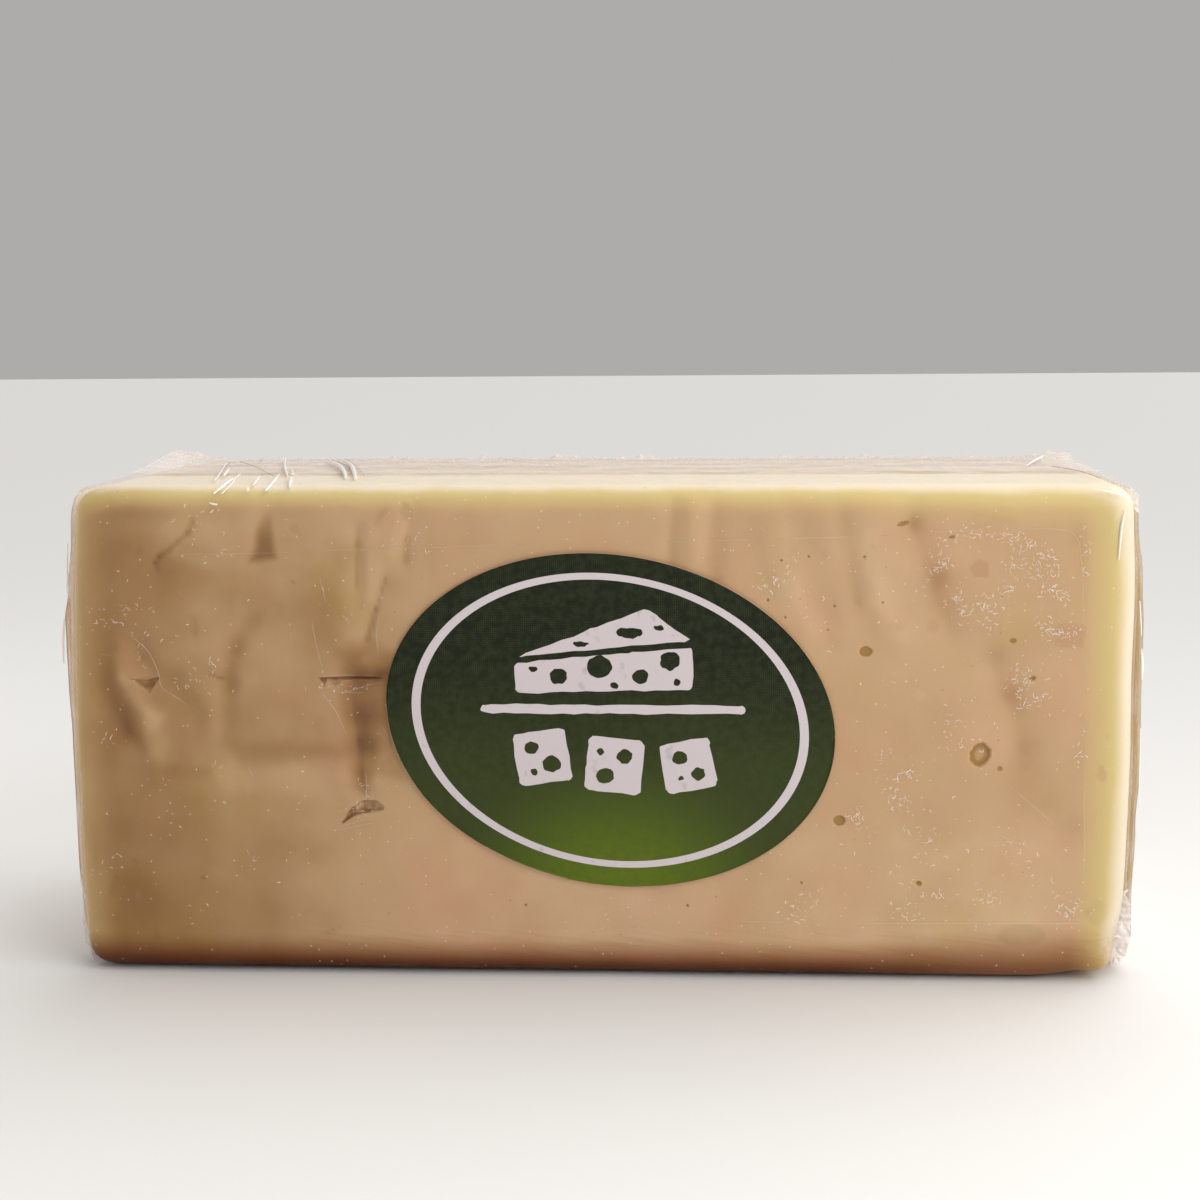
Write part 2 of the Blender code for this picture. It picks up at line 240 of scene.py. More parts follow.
# The cheese, and how its colours and its painted light and shade lie over it.
cheese = {
    "rounding": (5.0, 4.5, 4.0),
    "inset": -0.15,
    "fineCuts": 3,
    "fineReach": 0.7,
    "paleEye": 1.9,  # half width of the eye that is paler within, a painted reflection of the film over it
    "slitShade": 0.45,
    "markDepth": 0.12,
    "hollowPink": 0.52,
    "glow": {  # painted light: paler edges, top and ends, where light falls on and shines through the cheese; full where it is 1
        "left": 8.8,  # how far in it reaches
        "right": 9.6,
        "rightEdge": 0.95,  # so far in, the right edge is painted fully lit
        "top": 6.8,
        "topRight": (3.2, 35.0, 80.0),  # how much deeper it goes, between which places
        "fade": 2.0,  # it fades out slowly downwards
        "leftFade": (0.5, -20.0, -60.0),
        "leftFront": 0.30,  # the left side takes less light at the front
        "leftDepth": (-29.2, -24.5),
        "endTan": 0.75,  # the two ends are browner in the middle
        "endReach": 1.5,
        "uneven": (0.07, 0.04),
    },
    "shade": {  # darker where it is above 0: random tone, with painted shade in the folds, creases and over the left side, and painted light low down
        "waves": ((0.20, 0.045), (0.19, 0.13)),  # amount and pitch
        "marks": 0.8,
        "thinMarks": 0.55,
        "wedge": 0.9,
        "wedgeEdge": (-0.9, 0.8),
        "wedgeFade": (84.5, 76.0),
        "patches": 0.5,
        "left": (0.48, -20.0, -56.0),  # amount, between which places
        "farLeft": (0.6, -62.0, -80.0),  # as a share of that
        "low": (0.24, 45.0, 14.0),
        "lowSide": (-64.0, -40.0),
    },
    "hue": {  # rosy where it is above 0, more olive where it is below
        "wide": (0.55, 0.055),
        "fine": (0.35, 0.15),
        "low": (0.45, 34.0, 10.0),
        "lowSide": (-52.0, -22.0),
        "right": (0.75, 32.0, 58.0),
        "left": (0.22, -50.0, -80.0),
    },
    # painted shade over the left of the front
    "dim": {"side": (-68.0, -88.0), "edge": (0.45, -84.0, -89.0), "depth": (-26.0, -31.0)},
    "foot": {  # painted shade: the front darkens towards its foot, more gently at the right
        "height": (8.0, 0.9),
        "right": (36.0, 78.0),
        "rightRise": (3.0, 0.3),
        "rightLess": 0.26,
        "corner": (0.65, 81.0, 89.0),
        "ground": (0.3, 1.8, 0.0),
    },
}

# Eyes and slits: x, z, half width, half height, lean in degrees, depth.
frontEyes = [
    (65.2, 40.3, 1.9, 2.4, -20, 0.7), (45.8, 58, 1.25, 1.05, 0, 0.35), (41.6, 28.6, 1.15, 1.05, 0, 0.35),
    (70.3, 59.9, 0.7, 0.5, 0, 0.2), (73.7, 53.5, 0.6, 0.4, 20, 0.3), (68.6, 37.9, 0.5, 0.5, 0, 0.15),
    (55.3, 17.6, 0.6, 0.5, -20, 0.3), (51.7, 79.6, 1.2, 0.45, 15, 0.2), (59.8, 77.4, 0.6, 0.25, 10, 0.2),
    (-12.6, 13, 0.25, 0.25, 0, 0.2), (15.6, 13.2, 0.3, 0.3, 0, 0.2), (35.2, 17.6, 0.25, 0.25, 0, 0.2),
    (31.5, 73.5, 0.28, 0.25, 0, 0.2), (36.1, 74.1, 0.22, 0.22, 0, 0.2), (29.3, 66.7, 0.26, 0.3, 0, 0.2),
    (32.2, 63.8, 0.22, 0.22, 0, 0.2), (40.5, 65.7, 0.22, 0.22, 0, 0.2), (45.4, 74.1, 0.28, 0.28, 0, 0.2),
    (48.5, 66.4, 0.2, 0.2, 0, 0.2), (39.4, 61.6, 0.2, 0.2, 0, 0.2),
]
frontSlits = [(-42.1, 53.05, 5.8, 0.30, 0, 0.9)]
# Openings with corners, painted dark inside as shade: under a flap at the left, and below the channel.
frontGaps = [
    {"corners": [(-80.4, 52.9), (-77.4, 50.5), (-75.7, 53.0), (-78.0, 52.6)], "depth": 0.7},
    {
        "corners": [
            (-44.5, 27.3), (-43.5, 28.9), (-42.7, 30.1), (-41.5, 30.9), (-40.5, 31.5), (-38.3, 31.4),
            (-37.0, 30.4), (-37.2, 29.8), (-38.8, 29.4), (-40.7, 29.2), (-42.3, 28.7),
        ],
        "depth": 0.8,
    },
    {"corners": [(-47.8, 53.3), (-46.9, 51.6), (-46.2, 52.7), (-44.8, 51.6), (-43.4, 53.2)], "depth": 0.5},
]
# Dark edges of those openings, painted shadow along their rims: both ends, half width, amount.
gapEdges = [
    (-44.3, 27.6, -42.6, 28.8, 0.25, 0.8), (-42.6, 28.8, -39.6, 29.5, 0.2, 0.6),
    (-43.8, 28.8, -42.6, 30.2, 0.16, 0.5), (-78.8, 52.9, -75.9, 53, 0.18, 0.5),
    (-41.4, 53, -36.6, 53, 0.22, 0.38),
]
backEyes = [
    (-41, 61, 1.6, 1.4, 0, 1.3), (-27, 24, 1, 1, 0, 0.9), (24, 52, 1.2, 1.5, 0, 1.2),
    (57, 33, 0.9, 0.9, 0, 0.8),
]
# Thin dark creases seen in the front, pressed in a little and painted dark with the shade in them: both
# ends, half width, amount.
thinMarks = [
    (-68.4, 80.3, -69.4, 78.3, 0.55, 0.7), (-69.4, 78.3, -72.8, 75.3, 0.35, 0.7),
    (-72.8, 75.3, -74.6, 74.1, 0.4, 0.7), (-74.6, 74.1, -75.3, 73, 0.45, 0.8),
    (-75.3, 73, -74.9, 71.8, 0.4, 0.6), (-79.4, 55.6, -78.3, 56.6, 0.25, 0.9),
    (-35.4, 82.3, -36.9, 79.7, 0.7, 0.6), (-40.1, 79.1, -40.2, 76, 0.4, 0.6),
    (-40.2, 76, -40.6, 68.9, 0.28, 0.5), (-35.6, 70.5, -37.4, 65, 0.3, 0.6),
    (-37.4, 65, -39.1, 59.8, 0.45, 0.8), (-30.9, 81.5, -31.8, 77, 0.5, 0.5),
    (-31.8, 77, -32.1, 73.6, 0.7, 0.7), (-41.9, 50, -41, 42, 0.45, 0.35), (-41, 42, -40.5, 33, 0.45, 0.45),
    (-84.9, 17.2, -86.2, 14.2, 0.5, 0.4), (-81.5, 20.6, -81.3, 19.6, 0.35, 0.4),
    (-78.3, 7.8, -78.2, 6.2, 0.45, 0.4), (-70.2, 17, -68.9, 17.6, 0.14, 0.9),
    (-68.9, 63.4, -68.9, 60.6, 0.5, 0.35), (-78.4, 74.6, -77.7, 75.4, 0.4, 0.35),
    (-67, 53.8, -64.2, 52.8, 0.16, 0.8), (-66.2, 54.5, -65.2, 52.6, 0.14, 0.6),
    (-51.6, 69.8, -50, 70.2, 0.12, 0.6), (-48.2, 7.2, -45.6, 8.6, 0.14, 0.6),
]

# Broad shades of the front, painted shade and light along its folds and hollows: both ends, half width,
# amount. A lighter one is negative.
toneMarks = [
    (-74.3, 71.5, -64.2, 69.5, 4, 0.3), (-66.5, 82, -63, 76, 3, -0.2), (-82, 79.4, -30, 79.8, 2.6, -0.26),
    (-71.5, 75, -67, 73.8, 1.6, -0.25), (-85.2, 51.5, -81.8, 44, 2.4, 0.5), (-82, 17, -64, 14, 9, 0.16),
    (-84, 8, -46, 9, 7, 0.3), (-82, 44.5, -78.6, 41.5, 1.6, 0.35), (-82.6, 57, -81.6, 53, 1.2, -0.3),
    (-81.4, 52, -77.4, 46.5, 1.7, -0.6), (-77.4, 46.5, -76.6, 40.5, 2, -0.45),
    (-73.4, 51.8, -69.3, 46.5, 2.4, 0.3), (-58.2, 63.6, -61.5, 58.3, 1.6, 0.3),
    (-61.5, 58.3, -63.2, 52, 1.6, 0.4), (-63.2, 52, -63.8, 41.5, 1.8, 0.35), (-57, 56, -52, 44, 5, -0.12),
    (-62, 39.8, -45, 40.6, 1.8, 0.28), (-64, 35.4, -47, 35.2, 3.4, -0.4), (-74, 36.5, -68.5, 36, 1.6, 0.22),
    (-43.6, 50, -42.6, 40, 1.6, 0.2), (-34.5, 41.5, -26.5, 27.5, 2, 0.25), (-46, 62, -43, 74, 3.6, 0.34),
    (-37.9, 78, -37.9, 68, 1.2, -0.28), (-34, 77, -35.5, 72, 1.4, -0.25),
    (-55.1, 22.5, -49, 22.6, 3.4, 0.1), (-88, 24, -58, 15.5, 3, -0.12), (-28, 80, -27, 72, 1.4, 0.16),
    (-21.5, 82, -21, 76, 1.8, 0.18), (13.2, 83.3, 13.2, 72.7, 1, 0.3), (20.3, 82.7, 20.4, 70.4, 1.4, 0.25),
    (16.8, 81, 16.9, 72.7, 1.6, -0.25), (30.7, 74, 36.5, 62.7, 1.8, -0.28), (33.6, 75, 39.4, 60, 2, 0.2),
    (45.6, 76, 50, 61, 2.6, -0.36), (41.2, 81.5, 44.6, 66, 1.6, 0.34), (44.6, 66, 50, 59, 2, 0.36),
    (52.4, 84.6, 53.6, 79.5, 1.3, 0.4), (53.6, 79.5, 57.8, 70.5, 2.2, 0.44), (57.8, 70.5, 60, 63, 2.4, 0.3),
    (67.9, 57.4, 70, 50, 2.2, 0.42), (70, 50, 73, 42, 2.6, 0.35), (73, 38, 79.6, 28, 4.6, 0.46),
    (66, 34, 70, 31, 4, 0.22), (52, 33, 58, 30, 4, 0.12), (52, 24, 66, 20, 4, -0.16),
    (-7.8, 81.3, 2.7, 82, 0.6, 0.25), (2.7, 82, 9.1, 82.1, 0.6, 0.25), (57, 81.9, 70, 80.8, 0.7, 0.35),
    (-30, 12, -27, 8, 5, -0.08),
]

# Darker and pinker places where the film lies close: x, z, half width, half height, amount.
moistSpots = [
    (64.6, 72, 1.7, 1.5, 0.55), (79.5, 60.8, 2.8, 2.4, 0.45), (65.5, 54.4, 1.8, 1.6, -0.2),
    (57, 62.4, 1.1, 1.6, 0.4), (56, 73.1, 0.9, 1.1, 0.35), (50.9, 62.4, 1.6, 0.9, 0.3),
    (80, 77, 1, 0.9, 0.25), (54.8, 50.5, 0.9, 1.1, -0.3), (73.5, 49.5, 2.2, 1.8, -0.18),
    (46.8, 75.9, 0.5, 0.5, 0.4), (38.9, 74.6, 0.6, 0.9, 0.3), (59.8, 8.3, 1, 0.5, 0.25),
    (84.4, 12.6, 0.6, 0.9, 0.35), (85.7, 37, 0.9, 1.5, 0.4), (86.4, 43.5, 0.6, 0.5, 0.35),
    (-50.9, 79, 0.9, 0.8, 0.35), (-42.3, 82.5, 0.6, 0.8, 0.3), (-73.9, 82, 0.8, 0.5, 0.45),
    (-73.2, 81, 1.2, 0.5, 0.45), (-76.6, 72.4, 0.7, 0.6, 0.25), (-71.2, 67.9, 0.6, 0.6, 0.35),
    (-64.8, 80, 0.9, 0.6, 0.2), (-73.5, 50.9, 0.4, 0.4, 0.7), (-81.3, 13.8, 0.8, 1, 0.3),
    (-56.4, 20.8, 1.2, 1.5, 0.25), (-50.8, 69, 1.4, 2.4, 0.12), (-36.2, 81.2, 0.8, 1.6, 0.15),
]
khakiSpots = [
    (73, 8.5, 4.2, 2.1, 0.36), (86, 12.4, 1.7, 2.6, 0.15), (-50.9, 79, 1, 0.9, 0.4),
    (-31.8, 81.8, 0.9, 1.6, 0.5),
]
# The dark wedge and the pink hollow on the left, as corners.
wedge = [
    (-54.6, 83.2), (-55.0, 78.7), (-54.5, 74.0), (-58.8, 73.3), (-57.7, 75.6), (-57.3, 79.8), (-55.5, 83.2),
]
# The channel from the slit down to the opening, and the shade beside and above it, all painted
# shade: corners, softness, amount.
toneFields = [
    ([(-42.8, 53.6), (-37.2, 53.6), (-38.4, 43.3), (-39.7, 33.5), (-41.0, 33.5), (-42.1, 43.2)], 2.2, 0.68),
    ([(-41.8, 52.6), (-35.2, 53.4), (-35.4, 40.6), (-33.3, 35.7), (-38.8, 36.2), (-40.5, 37.1)], 2.0, 0.44),
    ([(-44.2, 57.2), (-43.0, 54.1), (-35.4, 53.4), (-34.6, 57.0), (-38.8, 58.8)], 2.0, 0.56),
]
hollow = [(-82.6, 60.4), (-80.8, 59.3), (-76.0, 53.5), (-75.9, 52.9), (-80.7, 52.8), (-81.9, 54.5)]


def pitReach(x, z, pit):
    px, pz, halfWidth, halfHeight, lean = pit[:5]
    turn = math.radians(lean)
    dx, dz = x - px, z - pz
    u = (dx * math.cos(turn) + dz * math.sin(turn)) / halfWidth
    v = (dz * math.cos(turn) - dx * math.sin(turn)) / halfHeight
    return math.hypot(u, v)


# How far inside a shape of those corners the point is; outside it is negative.
def insideOf(x, z, corners):
    if min(abs(x - corner[0]) for corner in corners) > 9:
        return -9.0
    nearest, within = 99.0, False
    for (x0, z0), (x1, z1) in zip(corners, corners[1:] + corners[:1]):
        dx, dz = x1 - x0, z1 - z0
        t = min(max(((x - x0) * dx + (z - z0) * dz) / (dx * dx + dz * dz), 0.0), 1.0)
        nearest = min(nearest, math.hypot(x - x0 - t * dx, z - z0 - t * dz))
        if (z0 > z) != (z1 > z) and x < x0 + (z - z0) / dz * dx:
            within = not within
    return nearest if within else -nearest


# Depth of the hollow there, and how strongly its painted shade shows. A large eye is paler within, a
# painted reflection.
def hollowOut(x, z, pits):
    deep, mask = 0.0, 0.0
    for pit in pits:
        if abs(x - pit[0]) > 8 or abs(z - pit[1]) > 5:
            continue
        reach = pitReach(x, z, pit) + 0.10 * waveAt(x * 1.3, 3.0, z * 1.3)
        inner = 1 - smoothStep(0.72, 1.0, reach)
        core = smoothStep(0.70, 0.25, reach) if pit[2] == cheese["paleEye"] else 0.0
        deep = max(deep, pit[5] * inner)
        mask = max(mask, inner * (1 - 0.6 * core))
    return deep, mask


def nearDetail(face):
    if not isFront(face):
        return False
    centre = face.calc_center_median()
    z = (centre.z + 0.5) * block["size"][2]
    x = sidePlace(centre.x * block["size"][0], z)
    reach = cheese["fineReach"]
    for pit in frontEyes + frontSlits:
        tall = max(pit[3], abs(pit[2] * math.sin(math.radians(pit[4]))))
        if abs(x - pit[0]) < pit[2] + reach and abs(z - pit[1]) < tall + reach:
            return True
    return any(insideOf(x, z, gap["corners"]) > -reach for gap in frontGaps)


# That amount as far as the value has come from low to high.
def partOf(row, value):
    amount, low, high = row
    return amount * smoothStep(low, high, value)


def shareOf(value):
    return min(max(value, 0.0), 1.0)


# Painted light: how far the paler, lit edges, top and ends reach at a point of the even block.
def glowAt(even):
    look = cheese["glow"]
    halfWidth, height = block["size"][0] / 2, block["size"][2]
    wide, edge = (look["left"], 0.0) if even.x < 0 else (look["right"], look["rightEdge"])
    side = shareOf((halfWidth - edge - abs(even.x)) / (wide - edge))
    top = shareOf((height - even.z) / (look["top"] + partOf(look["topRight"], even.x)))
    top = 1 - (1 - top) ** (look["fade"] + partOf(look["leftFade"], even.x))
    if even.x < 0:
        lit = look["leftFront"]
        side = 1 - (1 - side) * (lit + (1 - lit) * smoothStep(*look["leftDepth"], even.y))
    glow = 1 - side * top
    if abs(even.x) > halfWidth - look["endReach"]:
        inward = smoothStep(31.0, 21.0, abs(even.y)) * smoothStep(height - 2.0, height - 12.0, even.z)
        glow *= 1 - look["endTan"] * inward
    wide, fine = look["uneven"]
    uneven = wide * noise.noise(even * 0.12)
    uneven += fine * waveAt(even.x * 0.5, 1.0, even.z * 0.1)
    return shareOf(glow + uneven * min(3 * glow, 1.0))


# Random tone, with painted shade and light of the folds, creases and channel, painted shade over the left
# and painted light low down.
def shadeAt(place, front):
    x, z, look = place.x, place.z, cheese["shade"]
    tone = sum(amount * noise.noise(place * pitch) for amount, pitch in look["waves"])
    if front:
        tone += look["marks"] * softLines(*strayed(x, z), toneMarks)
        tone += look["thinMarks"] * softLines(x, z, thinMarks)
        inWedge = smoothStep(*look["wedgeEdge"], insideOf(x, z, wedge))
        tone += look["wedge"] * inWedge * smoothStep(*look["wedgeFade"], z)
        for corners, softness, amount in toneFields:
            patchy = 1 + look["patches"] * waveAt(x * 0.35, 6.0, z * 0.25)
            within = smoothStep(-softness, 0.6 * softness, insideOf(*strayed(x, z), corners))
            tone += amount * patchy * within
        amount, low, high = look["left"]
        tone += amount * (smoothStep(low, high, x) + partOf(look["farLeft"], x))
        tone -= partOf(look["low"], z) * smoothStep(*look["lowSide"], x)
    return tone


def hueAt(place):
    look = cheese["hue"]
    hue = partOf(look["low"], place.z) * smoothStep(*look["lowSide"], place.x)
    hue *= 1 - partOf(look["right"], place.x)
    hue -= partOf(look["left"], place.x)
    wide, fine = look["wide"], look["fine"]
    hue += wide[0] * noise.noise(place * wide[1] + Vector((3, 5, 7)))
    return hue + fine[0] * noise.noise(place * fine[1])


# Painted shade over the left of the front.
def dimAt(x, y):
    look = cheese["dim"]
    return smoothStep(*look["side"], x) * (1 - partOf(look["edge"], x)) * smoothStep(*look["depth"], y)


# Painted shade, darker towards the foot.
def paintedFootShadeAt(x, z):
    look = cheese["foot"]
    right = smoothStep(*look["right"], x)
    high, low = (base + rise * right for base, rise in zip(look["height"], look["rightRise"]))
    dark = smoothStep(high, low, z) * (1 - partOf(look["corner"], x))
    return dark * (1 - look["rightLess"] * right) * (1 - right * partOf(look["ground"], z))


def spotted(x, z, spots, rough=0.0):
    total = 0.0
    for px, pz, halfWidth, halfHeight, amount in spots:
        if abs(x - px) < 6 and abs(z - pz) < 6:
            reach = pitReach(x, z, (px, pz, halfWidth, halfHeight, 0))
            reach += rough * waveAt(x * 0.8, 5.0, z * 0.8)
            total += amount * (1 - smoothStep(0.85, 1.1, reach))
    return total


# How deep the front is pressed in there, with the painted shade of its hollows and the colours of its
# spots.
def frontHollows(x, z):
    deep, eye = hollowOut(x, z, frontEyes)
    cut, opening = hollowOut(x, z, frontSlits)
    opening *= cheese["slitShade"]
    for gap in frontGaps:
        inGap = smoothStep(-0.12, 0.22, insideOf(x, z, gap["corners"]))
        patchy = 0.46 + 0.7 * waveAt(x * 0.9, 2.0, z * 0.9)
        opening, cut = max(opening, inGap * patchy), max(cut, gap["depth"] * inGap)
    opening += softLines(x, z, gapEdges)
    moist = spotted(x, z, moistSpots, rough=0.35)
    moist += cheese["hollowPink"] * smoothStep(-0.5, 0.7, insideOf(x, z, hollow))
    colours = {"eye": eye, "opening": opening, "moist": moist, "khaki": spotted(x, z, khakiSpots)}
    return max(deep, cut) + cheese["markDepth"] * softLines(x, z, thinMarks), colours


def makeCheese():
    bm = dividedCube(block["cuts"])
    finer(bm, isFront, block["frontCuts"])
    finer(bm, nearDetail, cheese["fineCuts"])
    fields = {}
    for vert in bm.verts:
        front, back = vert.co.y < -0.49, vert.co.y > 0.49
        place, even = wrappedPoint(vert.co, cheese["rounding"], cheese["inset"])
        x, z = place.x, place.z
        values = dict.fromkeys(("moist", "khaki", "eye", "opening"), 0.0)
        if back:
            deep, values["eye"] = hollowOut(x, z, backEyes)
            place.y -= deep
        if front:
            deep, values = frontHollows(x, z)
            place.y += deep
        vert.co = pulledBy(place, pressedCorner)
        vert.co.z = max(vert.co.z, lowest - cheese["inset"])
        values.update(glow=glowAt(even), tone=shadeAt(place, front), hue=hueAt(place))
        values.update(dim=dimAt(x, even.y), under=paintedFootShadeAt(x, z))
        for field, value in values.items():
            fields.setdefault(field, []).append(value)
    return makePiece("cheese_block", bm, fields)


cheesePiece = makeCheese()
print("cheese block made:", len(cheesePiece.data.polygons), "faces")


# The film drawn tight round the cheese.
film = {
    "rounding": (3.2, 3.2, 2.8),
    "offset": 0.08,
    "cuts": (110, 40, 52),
    "wrinkle": 0.14,
    "haze": 0.18,  # along the left front edge, where the film is gathered
    "hazeSide": (-88.4, -89.7),
    "hazeDepth": (-20.0, -27.0),
}


def makeFilm():
    bm = dividedCube(film["cuts"])
    haze = []
    for vert in bm.verts:
        place, even = wrappedPoint(vert.co, film["rounding"], film["offset"])
        onTop = smoothStep(81.0, 86.0, even.z)
        ripple = waveAt(even.x * 0.35, even.y * 0.12, even.z * 0.35)
        place.z += film["wrinkle"] * onTop * (ripple + 0.6)
        vert.co = pulledBy(pulledBy(place, filmPeaks), pressedCorner)
        vert.co.z = max(vert.co.z, lowest)
        gathered = smoothStep(*film["hazeSide"], even.x) * smoothStep(*film["hazeDepth"], even.y)
        patchy = 1 + 0.4 * waveAt(even.x, even.y, even.z * 0.2)
        haze.append(film["haze"] * gathered * patchy)
    return makePiece("film_skin", bm, {"haze": haze})


filmPiece = makeFilm()
print("film made:", len(filmPiece.data.polygons), "faces")


# The sealed rims of the pouch, folded forward over the ends and the top.
sideRims = {
    "rootY": 28.5,
    "rootGap": 0.2,
    "freeY": -27.0,
    "curl": 1.3,
    "sheet": 0.20,
    "low": 1.0,
    "high": 84.6,
    "lowCorner": 7.0,
    "highCorner": 5.0,
    "steps": (40, 110),
    "waves": ((0.15, 5, 0.12), (0.12, 26, 0.05)),  # amount, pitch across and upwards
    # how far out the free edge stands: z and distance from the middle
    "left": {
        "side": -1,
        "edge": [
            (0, 92.4), (3, 93.0), (16, 93.6), (43, 93.5), (52, 93.7), (62, 93.7), (68, 92.8), (76, 91.9),
            (86, 91.5),
        ],
    },
    "right": {
        "side": 1,
        "edge": [
            (0, 91.6), (4, 91.7), (7, 92.4), (15, 92.3), (27, 92.7), (37, 93.1), (50, 92.8), (61, 92.8),
            (70, 92.4), (79, 91.4), (86, 91.0),
        ],
    },
}


def addGrid(bm, steps, size=0.5):
    return bmesh.ops.create_grid(bm, x_segments=steps[0], y_segments=steps[1], size=size)["verts"]


def thicken(bm, sheet):
    bmesh.ops.recalc_face_normals(bm, faces=bm.faces[:])
    bmesh.ops.solidify(bm, geom=bm.faces[:], thickness=sheet)
    bmesh.ops.recalc_face_normals(bm, faces=bm.faces[:])


def cornerInset(z):
    inset = 0.0
    for end, radius in (("low", "lowCorner"), ("high", "highCorner")):
        radius = sideRims[radius]
        short = min(max(radius - abs(z - sideRims[end]), 0.0), radius)
        inset += radius - math.sqrt(radius**2 - short**2)
    return inset


def levelled(table, z):
    for (z0, value0), (z1, value1) in zip(table, table[1:]):
        if z <= z1:
            return value0 + (value1 - value0) * smoothStep(z0, z1, z)
    return table[-1][1]


def makeSideRim(name, rim):
    bm = bmesh.new()
    addGrid(bm, sideRims["steps"])
    width = sideRims["rootY"] - sideRims["freeY"]
    low, high = sideRims["low"], sideRims["high"]
    for vert in bm.verts:
        along, up = vert.co.x + 0.5, vert.co.y + 0.5
        z = low + (high - low) * up
        reach = along * (1 - cornerInset(z) / width)
        root = abs(sidePlace(rim["side"] * block["size"][0] / 2, z)) + sideRims["rootGap"]
        out = root + (max(levelled(rim["edge"], z), root) - root) * reach ** sideRims["curl"]
        for amount, pitch, rise in sideRims["waves"]:
            out += along * amount * waveAt(along * pitch, rim["side"] * 3.0, z * rise)
        x = rim["side"] * out
        vert.co = Vector((x, sideRims["rootY"] - width * reach, z))
    thicken(bm, sideRims["sheet"])
    return makePiece(name, bm)


topRim = {
    "endInset": 1.5,
    "freeY": -7.0,
    "wave": 0.5,
    "waveLength": 132.0,
    "waver": 0.25,
    "hang": 2.0,  # so far down the back it starts
    "lift": 0.35,
    "uneven": (0.10, 0.08),
    "sheet": 0.10,
    "bead": 1.4,
    "beadReach": 1.6,
    "steps": (420, 56),
}


def makeTopRim():
    bm = bmesh.new()
    addGrid(bm, topRim["steps"])
    halfWidth = block["size"][0] / 2 - topRim["endInset"]
    halfDepth, height = block["size"][1] / 2, block["size"][2]
    radius, hang = film["rounding"][1], topRim["hang"]
    bend = radius * math.pi / 2
    fine, wide = topRim["uneven"]
    for vert in bm.verts:
        x = 2 * halfWidth * vert.co.x
        free = topRim["freeY"] + topRim["wave"] * math.sin(2 * math.pi * x / topRim["waveLength"])
        free += topRim["waver"] * waveAt(x * 0.4, 0, 0)
        flat = halfDepth - radius - free
        reach = (flat + bend + hang) * (0.5 - vert.co.y)
        level = topRim["lift"] + fine * waveAt(x * 0.2, reach * 0.3, 2.0)
        level += wide * waveAt(x * 0.02, reach * 1.1, 6.0)
        bead = max(waveAt(x * 0.8, 8.0, reach * 0.5) - 0.12, 0.0)
        level += topRim["bead"] * bead * math.exp(-(((reach - hang - bend) / topRim["beadReach"]) ** 2))
        if reach < hang:
            y, z = halfDepth, height - radius - (hang - reach)
            out = Vector((0, 1, 0))
        elif reach < hang + bend:
            angle = (reach - hang) / radius
            out = Vector((0, math.cos(angle), math.sin(angle)))
            y, z = halfDepth - radius + radius * out.y, height - radius + radius * out.z
        else:
            y, z = halfDepth - radius - (reach - hang - bend), height
            out = Vector((0, 0, 1))
        vert.co = pulledBy(Vector((sidePlace(x, z), y, z)) + out * level, filmPeaks)
    thicken(bm, topRim["sheet"])
    return makePiece("top_rim", bm)


leftRimPiece = makeSideRim("left_rim", sideRims["left"])
rightRimPiece = makeSideRim("right_rim", sideRims["right"])
topRimPiece = makeTopRim()
print("rims made")
